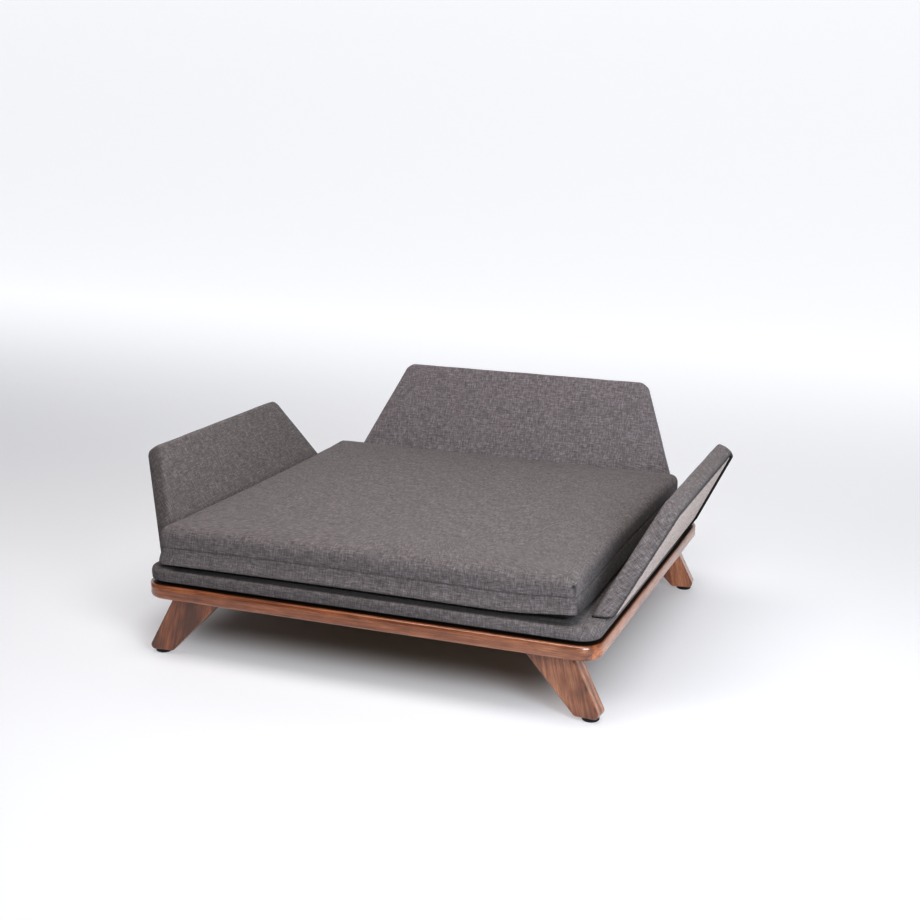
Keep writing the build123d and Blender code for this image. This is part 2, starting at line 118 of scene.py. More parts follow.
def makePiece(name, points, cloth, body, material, paintedShade=None, weld=2e-6):
    # A closed surface from a grid of points. cloth holds one grid of cloth coordinates, or a
    # list of (first row, grid) where a seam starts another panel. The last grid, from 0 to 1, is
    # painted shade: it darkens the cloth's colour in folds, seams and gaps and on faces turned
    # away from the lamps.
    rows, columns = points.shape[:2]
    faces = gridFaces(rows, columns)
    mesh = newMesh(name, points, faces.tolist())
    panels = cloth if isinstance(cloth, list) else [(0, cloth)]
    faceRow = np.repeat(np.arange(rows - 1), columns - 1)
    corner = np.zeros((len(faces), 4, 2))
    for firstRow, grid in panels:
        chosen = faceRow >= firstRow
        corner[chosen] = grid.reshape(-1, 2)[faces[chosen]]
    layer = mesh.uv_layers.new(name="cloth")
    layer.data.foreach_set("uv", corner.ravel())
    if paintedShade is not None:
        depth = mesh.attributes.new("paintedShade", "FLOAT", "POINT")
        values = np.broadcast_to(paintedShade, (rows, columns)).ravel()
        depth.data.foreach_set("value", values.astype(np.float32))
    finishMesh(mesh, weld)
    return addPiece(name, mesh, body, material)


def easeIn(low, high, value):
    # Zero below low, one above high, and between them three times the share's square less
    # twice its cube. With low above high it falls instead.
    share = np.clip((value - low) / (high - low), 0, 1)
    return share * share * (3 - 2 * share)


def bell(distance, width):
    # One at no distance and near zero from two widths on: e to the minus square of their ratio.
    return np.exp(-(distance / width) ** 2)


def ripple(first, second, size, phase):
    # A slow, even unevenness from -1 to 1: the mean of five sine waves that cross each other.
    total = 0
    for turn in range(5):
        angle = 0.7 + 1.9 * turn + phase
        along = first * math.cos(angle) + second * math.sin(angle)
        total = total + np.sin(2 * math.pi * along / (size * (0.6 + 0.23 * turn)) + 2.1 * turn + phase)
    return total / 5


def quarterTurn(count):
    return np.linspace(0, math.pi / 2, count)


def lengthAlong(line):
    # Distance walked from a line's first point to each of its points.
    return np.cumsum(np.hypot(*np.diff(line, axis=0, prepend=line[:1]).T))


def rowsAt(flat, height):
    # Rows of flat points, each row at its own height.
    return np.concatenate([flat, np.repeat(height[:, None, None], flat.shape[1], axis=1)], axis=2)


def roundedPath(halfX, halfY, corner, sideCount, cornerCount):
    # A rounded rectangle walked anticlockwise from the front end of its right side: for each
    # place the inner rectangle's point, the outward normal, and its share along its side. Places
    # on a side lie closer at its ends: the mean of even steps and half a cosine wave.
    corners = np.array([(1, -1), (1, 1), (-1, 1), (-1, -1)]) * [halfX - corner, halfY - corner]
    steps = np.linspace(0, 1, sideCount)
    along = (steps + (1 - np.cos(math.pi * steps)) / 2) / 2
    base, angle, share = [], [], []
    for number in range(4):
        start, stop = corners[number], corners[(number + 1) % 4]
        facing = 90 * number
        base += [np.outer(1 - along, start) + np.outer(along, stop), np.repeat([stop], cornerCount, axis=0)]
        angle += [np.full(sideCount, facing), np.linspace(facing, facing + 90, cornerCount + 1)[1:]]
        share += [along, np.zeros(cornerCount)]
    base, angle, share = (np.concatenate(part) for part in (base, angle, share))
    normal = np.stack([np.cos(np.radians(angle)), np.sin(np.radians(angle))], axis=1)
    return [np.concatenate([part, part[:1]]) for part in (base, normal, share)]


def mirrored(profile):
    # A list of (share, size), followed by itself backwards with each share taken from one.
    share, size = np.array(profile).T
    return np.concatenate([share, 1 - share[::-1]]), np.concatenate([size, size[::-1]])


# Materials

class Value:
    # What a node gives out. Arithmetic between values, or with plain numbers, adds math nodes.

    def __init__(self, shade, socket):
        self.shade = shade
        self.socket = socket

    def __add__(self, other):
        return self.shade.math("ADD", self, other)

    def __sub__(self, other):
        return self.shade.math("SUBTRACT", self, other)

    def __rsub__(self, other):
        return self.shade.math("SUBTRACT", other, self)

    def __mul__(self, other):
        return self.shade.math("MULTIPLY", self, other)

    def __truediv__(self, other):
        return self.shade.math("DIVIDE", self, other)


class Shade:
    # A short way to build a node material: each call adds a node and joins its inputs.

    def __init__(self, name):
        self.material = bpy.data.materials.new(name)
        self.material.use_nodes = True
        self.nodes = self.material.node_tree.nodes
        self.links = self.material.node_tree.links
        self.nodes.clear()
        self.surface = self.add("BsdfPrincipled")
        self.add("OutputMaterial", Surface=Value(self, self.surface.outputs[0]))

    def add(self, kind, settings=None, **sockets):
        node = self.nodes.new("ShaderNode" + kind)
        for key, value in (settings or {}).items():
            setattr(node, key, value)
        for key, value in sockets.items():
            self.join(node, key, value)
        return node

    def join(self, node, socket, value):
        # a socket goes by its label, with _ for a space, or by i and its number
        place = int(socket[1:]) if socket[0] == "i" and socket[1:].isdigit() else socket.replace("_", " ")
        if isinstance(value, Value):
            self.links.new(value.socket, node.inputs[place])
        else:
            node.inputs[place].default_value = value

    def give(self, kind, settings=None, output=0, **sockets):
        return Value(self, self.add(kind, settings, **sockets).outputs[output])

    def set(self, **sockets):
        for key, value in sockets.items():
            self.join(self.surface, key, value)

    def place(self):
        return self.give("TexCoord", output="Object")

    def cloth(self):
        return self.give("UVMap", {"uv_map": "cloth"})

    def split(self, vector):
        return [Value(self, output) for output in self.add("SeparateXYZ", Vector=vector).outputs]

    def math(self, operation, first, second=0.0):
        return self.give("Math", {"operation": operation}, i0=first, i1=second)

    def vectorMath(self, operation, first, second=(0, 0, 0)):
        output = "Value" if operation in ("DOT_PRODUCT", "LENGTH") else "Vector"
        return self.give("VectorMath", {"operation": operation}, output, i0=first, i1=second)

    def smooth(self, low, high, value, toLow=0.0, toHigh=1.0):
        settings = {"interpolation_type": "SMOOTHSTEP"}
        return self.give("MapRange", settings, i0=value, i1=low, i2=high, i3=toLow, i4=toHigh)

    def noise(self, vector, scale=1.0, detail=2.0, roughness=0.5):
        if isinstance(vector, tuple):
            vector = self.give("CombineXYZ", X=vector[0], Y=vector[1], Z=vector[2])
        return self.give("TexNoise", Vector=vector, Scale=scale, Detail=detail, Roughness=roughness)

    def ramp(self, value, stops):
        node = self.add("ValToRGB", Fac=value)
        bar = node.color_ramp.elements
        while len(bar) < len(stops):
            bar.new(0.5)
        for element, (place, colour) in zip(bar, stops):
            element.position = place
            element.color = (*colour, 1.0)
        return Value(self, node.outputs[0])

    def mix(self, share, first, second, blend="MIX"):
        first, second = (value if isinstance(value, Value) else (*value, 1.0) for value in (first, second))
        settings = {"data_type": "RGBA", "blend_type": blend}
        return self.give("Mix", settings, 2, i0=share, i6=first, i7=second)

    def bump(self, height, strength, distance, **under):
        return self.give("Bump", Strength=strength, Distance=distance, Height=height, **under)

    def outsideBox(self, place, centre, half):
        # Distance from a box: the length of what lies past its half sizes in each direction.
        reach = self.vectorMath("ABSOLUTE", self.vectorMath("SUBTRACT", place, centre))
        past = self.vectorMath("MAXIMUM", self.vectorMath("SUBTRACT", reach, half))
        return self.vectorMath("LENGTH", past)


linenLook = {
    "threadPitch": 0.95 * millimetre,    # from one thread to the next
    "threadStep": 7.31,                  # how far apart neighbouring threads lie in the noise
    "slubLength": 9.0,                   # in threads
    "slubRoughness": 0.62,
    "strokeWidth": 1.9 * millimetre,     # thick places where a few threads run together
    "strokeLength": 12.0 * millimetre,
    "strokeGain": 0.36,
    "driftScale": 26.0,                  # slow change of tone over the cloth
    "driftGain": 0.08,
    "threads": [(0.30, (0.113, 0.0985, 0.0985)), (0.50, (0.184, 0.164, 0.1645)),
                (0.72, (0.303, 0.275, 0.279))],
    # painted shade in folds, seams and gaps: its colour and how much of it shows
    "paintedShadeColour": (0.002, 0.0018, 0.0018),
    "paintedShadeShare": 0.93,
    "bumpDepth": 0.26 * millimetre,
    # the wings' outer panels are of a paler cloth, made paler still as painted sheen and light
    "liningAndSheenGain": (3.0, 2.9, 2.72),      # paler cloth, and painted sheen and light
    "backPaintedLightGain": (1.21, 1.22, 1.27),      # painted light: the back wing's cloth is made lighter
    "roughness": 0.92,
    "sheen": 0.12,
}


def linenMaterial(name, turn=0.0, gain=(1.0, 1.0, 1.0)):
    # Plain weave: each thread has its own shade that drifts along its length, and the threads
    # of the two directions lie on top in turn, as on a chequered board. A thread is raised as
    # the product of two half sine waves.
    look = linenLook
    shade = Shade(name)
    place = shade.cloth()
    x, y = shade.split(place)[:2]
    across = x / look["threadPitch"]
    along = y / look["threadPitch"]
    warpNumber = shade.math("FLOOR", across)
    weftNumber = shade.math("FLOOR", along)
    weftOnTop = shade.math("FRACT", (warpNumber + weftNumber) * 0.5) * 2.0

    def threadShade(first, second, offset):
        return shade.noise((first, second, offset), detail=3.0, roughness=look["slubRoughness"])

    slub = 1 / look["slubLength"]
    step = look["threadStep"]
    warpShade = threadShade(warpNumber * step, along * slub, turn)
    weftShade = threadShade(across * slub, weftNumber * step, turn + 40.0)
    thread = weftShade * weftOnTop + warpShade * (1.0 - weftOnTop)
    thin = 1 / look["strokeWidth"]
    long = 1 / look["strokeLength"]
    upright = shade.noise((x * thin, y * long, turn + 7.0), detail=1.0)
    level = shade.noise((x * long, y * thin, turn + 91.0), detail=1.0)
    strokes = upright + level - 1.0
    drift = shade.noise(place, scale=look["driftScale"], detail=3.0) - 0.5
    tone = thread + drift * look["driftGain"] + strokes * look["strokeGain"]
    stops = [(at, tuple(np.multiply(gain, colour))) for at, colour in look["threads"]]
    # painted shade: the colour goes towards near black where the mesh's shade attribute is high
    paintedShade = shade.give("Attribute", {"attribute_name": "paintedShade"}, "Fac")
    colour = shade.mix(paintedShade * look["paintedShadeShare"], shade.ramp(tone, stops), look["paintedShadeColour"])
    ridges = [shade.math("SINE", shade.math("FRACT", count) * math.pi) for count in (across, along)]
    height = thread * 0.9 + ridges[0] * ridges[1] * 0.55 + strokes * 0.8
    shade.set(Base_Color=colour, Roughness=look["roughness"], Sheen_Weight=look["sheen"],
              Sheen_Roughness=0.45, Specular_IOR_Level=0.18,
              Normal=shade.bump(height, 0.75, look["bumpDepth"]))
    return shade.material


walnutLook = {
    "tones": [(0.26, (0.130, 0.046, 0.024)), (0.44, (0.300, 0.104, 0.045)),
              (0.60, (0.475, 0.190, 0.088)), (0.80, (0.710, 0.350, 0.190))],
    "poreColour": (0.130, 0.046, 0.024),
    "poreShare": 0.62,
    "poreDepth": 0.08 * millimetre,
    "marks": {                           # noise scale along and across, offset, detail, roughness
        "sway": (5.0, 14.0, 3.0, 2.0, 0.5),
        "streak": (12.0, 260.0, 11.0, 4.0, 0.6),
        "fine": (42.0, 900.0, 23.0, 2.0, 0.5),
        "pore": (60.0, 1300.0, 31.0, 2.0, 0.5),
        "drift": (2.2, 9.0, 47.0, 2.0, 0.5),
        "fleck": (34.0, 85.0, 59.0, 3.0, 0.55),
    },
    "gains": {"streak": 0.55, "fine": 0.26, "drift": 0.36, "fleck": 0.34},
    "paintedCoolLight": (1.0, 1.16, 1.40),          # painted cool light: greyer towards the bed's right
    "paintedCoolLightFrom": 0.02,
    "paintedCoolLightTo": 0.26,
    "roughness": 0.31,
    "edgeRound": 7.5 * millimetre,       # the rails' top edges are eased by hand
    "paintedShadowReach": 2.4 * millimetre,      # painted shadow: dark strip of the rails' top face along the pad
    "paintedShadowColour": (0.012, 0.005, 0.003),
}


def walnutMaterial(name, grain, seed, lift=0.0, rings=95.0, ringGain=0.05, easedAt=None, paintedCoolLight=0.0):
    # Grain runs along one direction: wide bands, fine streaks and short dark pores are one
    # noise each, drawn out along the grain and packed close across it. Rings are a sine wave
    # across the grain that the sway bends.
    look = walnutLook
    direction = Vector(grain).normalized()
    side = direction.cross(Vector((0, 0, 1)))
    if side.length < 0.2:
        side = direction.cross(Vector((0, 1, 0)))
    side.normalize()
    shade = Shade(name)
    place = shade.place()
    run, wide, deep = (shade.vectorMath("DOT_PRODUCT", place, axis)
                       for axis in (direction, side, direction.cross(side)))
    marks = {}
    for key, (alongScale, acrossScale, offset, detail, roughness) in look["marks"].items():
        spot = (run * alongScale + (offset + seed), wide * acrossScale, deep * acrossScale)
        marks[key] = shade.noise(spot, detail=detail, roughness=roughness)
    ring = shade.math("SINE", deep * 60.0 + marks["sway"] * 9.0 + wide * rings)
    tone = ring * ringGain + (0.5 + lift)
    for key, gain in look["gains"].items():
        tone = tone + (marks[key] - 0.5) * gain
    pore = shade.smooth(0.60, 0.74, marks["pore"])
    colour = shade.mix(pore * look["poreShare"], shade.ramp(tone, look["tones"]), look["poreColour"])
    # painted light: the cool lamp on the right, as a tint that grows towards the bed's right
    if paintedCoolLight:
        share = shade.smooth(look["paintedCoolLightFrom"], look["paintedCoolLightTo"], shade.split(place)[0], 0.0, paintedCoolLight)
        colour = shade.mix(share, colour, look["paintedCoolLight"], "MULTIPLY")
    under = {}
    if easedAt is not None:
        height = shade.split(place)[2]
        # painted shadow of the pad on the rails' top face
        colour = shade.mix(paintedPadShadow(shade, place, height, easedAt), colour, look["paintedShadowColour"])
        under["Normal"] = easedNormal(shade, height, easedAt)
        shade.set(Coat_Normal=under["Normal"])
    relief = marks["streak"] * 0.35 - pore
    shade.set(Base_Color=colour, Roughness=marks["streak"] * 0.22 + look["roughness"], Coat_Weight=1.0,
              Coat_Roughness=0.16, Specular_IOR_Level=0.5,
              Normal=shade.bump(relief, 0.5, look["poreDepth"], **under))
    return shade.material


def paintedPadShadow(shade, place, height, top):
    # How much painted shadow of the pad a place has: full on the top face beside the pad's
    # rounded outline, and none from the reach on.
    reach = walnutLook["paintedShadowReach"]
    half = (padHigh - padLow) / 2 - padCorner
    beside = shade.outsideBox(place, (0, middleY, 0), (half[0], half[1], 1))
    shaded = shade.smooth(padCorner + reach, padCorner + 0.2 * reach, beside, 0.0, 0.9)
    return shaded * shade.smooth(top - 0.9 * millimetre, top - 0.2 * millimetre, height)


def easedNormal(shade, height, top):
    # An eased edge turns the shading normal over its last millimetres, as a circle's slope
    # does: the height falls by the square of the way past the round's start, over twice the
    # radius.
    radius = walnutLook["edgeRound"]
    past = shade.math("MAXIMUM", height - (top - radius), 0.0)
    return shade.bump(past * past * (-0.5 / radius), 1.0, 1.0)


def plywoodMaterial():
    # Raw birch: pale sheets with faint streaks, and darker glue lines across the edges.
    sheet = 2.5 * millimetre
    shade = Shade("birchPlywood")
    x, y, z = shade.split(shade.place())
    streak = shade.noise((x * 7.0, y * 210.0, z * 210.0), detail=4.0, roughness=0.6)
    glue = shade.smooth(0.82, 0.95, shade.math("FRACT", z / sheet), 0.0, 0.35)
    colour = shade.ramp(streak, [(0.3, (0.36, 0.235, 0.125)), (0.55, (0.56, 0.405, 0.245)),
                                 (0.78, (0.68, 0.525, 0.345))])
    shade.set(Base_Color=shade.mix(glue, colour, (0.16, 0.09, 0.045)), Roughness=0.72,
              Specular_IOR_Level=0.3, Normal=shade.bump(streak, 0.3, 0.15 * millimetre))
    return shade.material


def glideMaterial():
    # Moulded black plastic with a faint grain and dusty scuffs near the floor.
    shade = Shade("glidePlastic")
    place = shade.place()
    grain = shade.noise(place, scale=2600.0)
    scuff = shade.noise(place, scale=240.0, detail=4.0, roughness=0.7)
    nearFloor = shade.smooth(0.0, 3 * millimetre, shade.split(place)[2], 0.5, 0.0)
    dust = shade.smooth(0.5, 0.7, scuff) * nearFloor
    shade.set(Base_Color=shade.mix(dust, (0.012, 0.012, 0.013), (0.11, 0.10, 0.095)),
              Roughness=scuff * 0.3 + 0.38, Specular_IOR_Level=0.45,
              Normal=shade.bump(grain, 0.35, 0.06 * millimetre))
    return shade.material


def zincMaterial():
    # Zinc plate: slightly uneven grey with brushed scratches.
    shade = Shade("zincPlate")
    place = shade.place()
    mark = shade.noise(shade.give("Mapping", Vector=place, Scale=(2600.0, 240.0, 240.0)), detail=3.0)
    cloud = shade.noise(place, scale=120.0, detail=3.0)
    shade.set(Base_Color=shade.ramp(cloud, [(0.3, (0.42, 0.41, 0.39)), (0.7, (0.62, 0.62, 0.60))]),
              Metallic=1.0, Roughness=mark * 0.3 + 0.24, Normal=shade.bump(mark, 0.2, 0.03 * millimetre))
    return shade.material


def zipTapeMaterial():
    # Herringbone tape: fine ribs that lean one way and then the other.
    shade = Shade("zipTape")
    x, y = shade.split(shade.cloth())[:2]
    fold = shade.math("PINGPONG", y / (2.4 * millimetre), 1.0)
    rib = shade.math("PINGPONG", fold * 2.2 + x / (0.8 * millimetre), 1.0)
    shade.set(Base_Color=shade.ramp(rib, [(0.1, (0.010, 0.009, 0.010)), (0.8, (0.045, 0.041, 0.042))]),
              Roughness=0.9, Sheen_Weight=0.15, Specular_IOR_Level=0.2,
              Normal=shade.bump(rib, 0.6, 0.15 * millimetre))
    return shade.material


def zipCoilMaterial():
    # Nylon monofilament, glossy where it is rubbed.
    shade = Shade("zipCoilNylon")
    wear = shade.noise(shade.place(), scale=420.0, detail=3.0)
    shade.set(Base_Color=shade.ramp(wear, [(0.3, (0.010, 0.010, 0.011)), (0.75, (0.038, 0.036, 0.037))]),
              Roughness=wear * 0.25 + 0.22)
    return shade.material


def zipMetalMaterial():
    # Black enamel, worn through to zinc in small spots.
    shade = Shade("zipEnamel")
    wear = shade.noise(shade.place(), scale=900.0, detail=4.0, roughness=0.65)
    bare = shade.smooth(0.66, 0.72, wear)
    shade.set(Base_Color=shade.mix(bare, (0.020, 0.020, 0.022), (0.34, 0.33, 0.31)), Metallic=bare * 0.9,
              Roughness=wear * 0.3 + 0.18, Coat_Weight=0.4, Coat_Roughness=0.12)
    return shade.material


linen = linenMaterial("linenWeave")
# painted light: a lighter copy of the linen for the back wing
linenBack = linenMaterial("linenWeaveBack", turn=29.0, gain=linenLook["backPaintedLightGain"])
lining = linenMaterial("liningWeave", turn=13.0, gain=linenLook["liningAndSheenGain"])
zinc = zincMaterial()
plywood = plywoodMaterial()
glidePlastic = glideMaterial()
zipTape = zipTapeMaterial()
zipNylon = zipCoilMaterial()
zipMetal = zipMetalMaterial()
print("materials ready")


# Frame, legs and fasteners keep their modelled shapes and get their finishes

railGrains = {"front_rail": (1, 0.012, 0), "back_rail": (1, -0.01, 0),
              "left_rail": (0.01, 1, 0), "right_rail": (-0.012, 1, 0)}

legLook = {
    "grainLean": 13.0,               # degrees from upright, as the leg is cut from a board
    "lift": -0.08,                   # legs are darker than the rails, least on the right
    # painted light and shade: the right legs lighter and the left ones darker, as the lamps stand on the right
    "paintedLightOutwards": 0.07,
    "rings": 540.0,
    "ringGain": 0.10,
    # painted cool light on the right legs, more on the front one than the back one
    "paintedCoolLight": {"front": 1.0, "back": 0.3},
}


def dressNode(node, material):
    # The node's own surface is kept, with one material in place of those it had.
    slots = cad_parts[node].data.materials
    slots.clear()
    slots.append(material)


def dressLeg(end, side, outwards, seed):
    look = legLook
    lean = math.radians(look["grainLean"])
    grain = (outwards * math.sin(lean), 0.0, -math.cos(lean))
    node = f"{end}_{side}_leg"
    lift = look["paintedLightOutwards"] * outwards + look["lift"]
    dressNode(node, walnutMaterial("walnut_" + node, grain, seed, lift=lift, rings=look["rings"],
                                   ringGain=look["ringGain"], paintedCoolLight=look["paintedCoolLight"][end]))
    dressNode(f"{end}_{side}_glide", glidePlastic)


def dressFrame():
    for number, (node, grain) in enumerate(railGrains.items()):
        # painted cool light on the front rail only
        paintedCoolLight = 1.0 if node == "front_rail" else 0.0
        seed = 3.7 * number + 1.0
        dressNode(node, walnutMaterial("walnut_" + node, grain, seed, easedAt=frameTop, paintedCoolLight=paintedCoolLight))
    seed = 20.0
    for end in ("front", "back"):
        for side, outwards in (("left", -1), ("right", 1)):
            dressLeg(end, side, outwards, seed)
            seed += 5.3
    wings = ("left_wing", "right_wing", "back_wing")
    for node in ("corner_splines", "platform_board", *(f"{wing}_core" for wing in wings)):
        dressNode(node, plywood)
    brackets = [f"{wing}_{part}" for wing in wings for part in ("brackets", "bracket_screws")]
    for node in ("glide_nails", "leg_screws", "platform_screws", *brackets):
        dressNode(node, zinc)
    dressNode("zip_slider", zipMetal)


dressFrame()
print("frame dressed")


# Platform upholstery

platformShape = {
    "topRound": 6.0 * millimetre,
    "bottomRound": 2.6 * millimetre,
    "sideBulge": 0.7 * millimetre,
    "counts": (90, 12),                   # points along a side and round a corner
    "topRows": np.array([10, 14, 18, 25]) * millimetre,     # insets of the rows on the top
    "edgeDip": 1.1 * millimetre,          # how far the top sinks at its edge
    "dipReach": 26 * millimetre,
    "unevenness": 0.28 * millimetre,
    "rippleSize": 55 * millimetre,
    "gapDark": 0.92,                      # painted shadow in the narrow gap below the cushion's front edge
    "gapPaler": 0.25,                     # how much lighter the painted shadow is on the right
    # painted shade at the pad's foot, where it sits on the rails
    "footDark": 0.9,
    "leftDark": 0.17,                     # painted shade: the front left faces away from the lamps
}


def makePlatform():
    # Rounded slab: rows run from the middle of the underside, round the bottom edge, up the
    # bulging side, round the top edge and in to the middle of the top. The top sinks towards
    # its edge by an exponential of the inset.
    shape = platformShape
    half = (padHigh - padLow) / 2
    base, normal = roundedPath(half[0], half[1], padCorner, *shape["counts"])[:2]
    bottom, top = padLow[2], padHigh[2]
    low, high = shape["bottomRound"], shape["topRound"]
    inward = np.linspace(0, 1, 10)
    turn = quarterTurn(7)
    side = np.linspace(0, 1, 9)[1:-1]
    inset = np.concatenate([low * (1 - np.sin(turn)), 0 * side, high * (1 - np.cos(turn)), shape["topRows"]])
    height = np.concatenate([bottom + low * (1 - np.cos(turn)),
                             bottom + low + side * (top - high - bottom - low),
                             top - high + high * np.sin(turn), np.full(len(shape["topRows"]), top)])
    dip = easeIn(0.8, 1.0, (height - bottom) / (top - bottom)) * np.exp(-inset / shape["dipReach"])
    height = height - shape["edgeDip"] * dip
    middle = np.clip((height - bottom) / (top - bottom), 0, 1)
    bulge = shape["sideBulge"] * np.sin(math.pi * middle) ** 2 * (inset < high)
    rim = rowsAt(base[None] + normal[None] * (padCorner - inset + bulge)[:, None, None], height)
    flatten = np.array([1, 1, 0])
    under = rim[:1] * flatten * inward[:, None, None] + np.array([0, 0, bottom])
    over = rim[-1:] * flatten * (1 - inward[1:, None, None]) + np.array([0, 0, top])
    points = np.concatenate([under[:-1], rim, over])
    arc = lengthAlong(np.stack([inset, height], axis=1))
    spread = padCorner - inset[-1] + arc[-1] - arc
    cloth = base[None] + normal[None] * spread[:, None, None]
    cloth = np.concatenate([under[:-1, :, :2], cloth, over[..., :2]])
    x, y, z = np.moveaxis(points.copy(), 2, 0)
    uneven = shape["unevenness"] * ripple(x + z, y - z, shape["rippleSize"], 0.4)
    onSide = (z > bottom + low / 2) & (z < top - high / 3)
    points[..., :2] += normal[None] * (uneven * onSide)[..., None]
    points[..., 1] += (padHigh[1] + padLow[1]) / 2
    piece = makePiece("platform_upholstery", points, cloth, "bed_frame", linen,
                      paintedShade=platformPaintedShade(*np.moveaxis(points, 2, 0)))
    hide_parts("platform_cover", "platform_foam")
    return piece


def platformPaintedShade(x, y, z):
    # Painted shade, the darkest of three strips: the shadow in the gap below the cushion's
    # front edge, the shade at the foot and the shade on the front left. Each is a product of
    # smooth steps.
    shape = platformShape
    low, high = shape["bottomRound"], shape["topRound"]
    fromFront = y - padLow[1]
    gap = easeIn(padHigh[2] - high * 0.5, padHigh[2] - high * 0.2, z)
    gap = gap * easeIn(cushionHigh[0] + 4 * millimetre, cushionHigh[0] - 20 * millimetre, np.abs(x))
    gap = gap * easeIn(17 * millimetre, 8 * millimetre, fromFront)
    gap = gap * (shape["gapDark"] - shape["gapPaler"] * easeIn(0.12, 0.26, x))
    foot = shape["footDark"] * easeIn(padLow[2] + low * 0.9, padLow[2] + low * 0.4, z)
    left = easeIn(0.22, 0.02, x) * easeIn(30 * millimetre, 10 * millimetre, fromFront)
    return np.maximum(np.maximum(gap, foot), shape["leftDark"] * left)


makePlatform()
print("platform covered")


# Wings

wingShape = {
    "side": {"lean": 27.0, "foot": 490 * millimetre, "top": 336 * millimetre, "slant": 145.5 * millimetre},
    "back": {"lean": 25.7, "foot": 541 * millimetre, "top": 391 * millimetre, "slant": 189 * millimetre},
    "counts": (46, 13, 60),           # points along a side, round a corner and along half the top
    "thickness": 24 * millimetre,
    "overhang": 4 * millimetre,
    "corner": 17 * millimetre,
    "innerRound": 5.2 * millimetre,
    "outerRound": 5.4 * millimetre,
    "lipRound": 0.9 * millimetre,
    "coreBack": 21.1 * millimetre,
    "grooveDepth": 2.9 * millimetre,
    "grooveStep": 1.6 * millimetre,
    "grooveFloor": 3 * millimetre,
    "faceRows": np.array([15, 12.5, 10, 8.6]) * millimetre,     # insets of the inner face's outer rows
    "crown": 1.6 * millimetre,        # how much lower the padded face is at its rim
    "crownReach": 24 * millimetre,
    "middleInset": 0.55,              # inset of the face's middle, as a share of the slant
    "faceSteps": 25,                  # rows from the face's middle outwards
    "closingSteps": 4,                # rows that close the wing behind the back panel
    "tuck": 0.9 * millimetre,         # how far the cloth is drawn in at the seat
    "tuckReach": 6 * millimetre,
    "bandBulge": 0.8 * millimetre,
    "unevenness": 0.35 * millimetre,
    "rippleSize": 85 * millimetre,
    "bandRipple": 60 * millimetre,
    "bandUneven": 0.8,                # the band's unevenness, as a share of the face's
    "pleatDepth": 0.225 * millimetre,
    "pleatReach": 15 * millimetre,
    "pleatStep": 2.3 * millimetre,
    "footSink": 0.4 * millimetre,     # the padded foot presses this far into the seat's cloth
    "hem": 4.2 * millimetre,          # how far the folded hem stands out at the side wings' backs
    "hemColumns": 9,                  # columns over which it rises
    "hemRows": [1, 0.95, 0.8],        # what is left of it in the rows past the outer rim
    # painted shade, where shade falls: how dark the outer rim, the groove's first rows, the hem's
    # inner side and the foot are, and the left wing's front band, which faces away from the lamps
    "rimPaintedShade": 0.8,
    "groovePaintedShades": [0.6, 0.75, 0.9, 0.97],
    "hemPaintedShade": 0.95,
    "footPaintedShade": 0.9,
    "footPaintedShadeReach": 1.3 * millimetre,
    "leftBandPaintedShade": 0.26,
    "phase": {"left": 0.3, "right": 1.7, "back": 3.1},
}

panelShape = {
    "seamGap": 2.0 * millimetre,
    "round": 1.5 * millimetre,
    "proud": 0.9 * millimetre,        # how far the panel's rim stands out from the band's
    "rimRows": np.array([2.2, 4, 5.8, 7.6]) * millimetre,
    "crown": 0.9 * millimetre,
    "crownReach": 14 * millimetre,
    "unevenness": 0.22 * millimetre,
    "rippleSize": 110 * millimetre,
    # painted shade in the groove round the panel's rim, row by row
    "rimPaintedShade": [1.0, 0.9, 0.65, 0.35, 0.12, 0.03],
    "phase": {"left": 2.3, "right": 0.9, "back": 4.4},
}


def wingPlace(name):
    # The wing's own axes: origin at the middle of the inner face's foot, then across, up the
    # slant and inwards. The foot lies one thickness, seen through the lean, inside the overhang.
    sizes = wingShape["back" if name == "back" else "side"]
    lean = math.radians(sizes["lean"])
    reach = wingShape["overhang"] - wingShape["thickness"] / math.cos(lean)
    if name == "back":
        origin = (0, middleY + halfDepth + reach, seatHeight)
        axes = [(1, 0, 0), (0, math.sin(lean), math.cos(lean)), (0, -math.cos(lean), math.sin(lean))]
    else:
        side = 1 if name == "right" else -1
        origin = (side * (halfWidth + reach), middleY, seatHeight)
        axes = [(0, -side, 0), (side * math.sin(lean), 0, math.cos(lean)),
                (-side * math.cos(lean), 0, math.sin(lean))]
    return np.array(origin), np.array(axes), lean, sizes


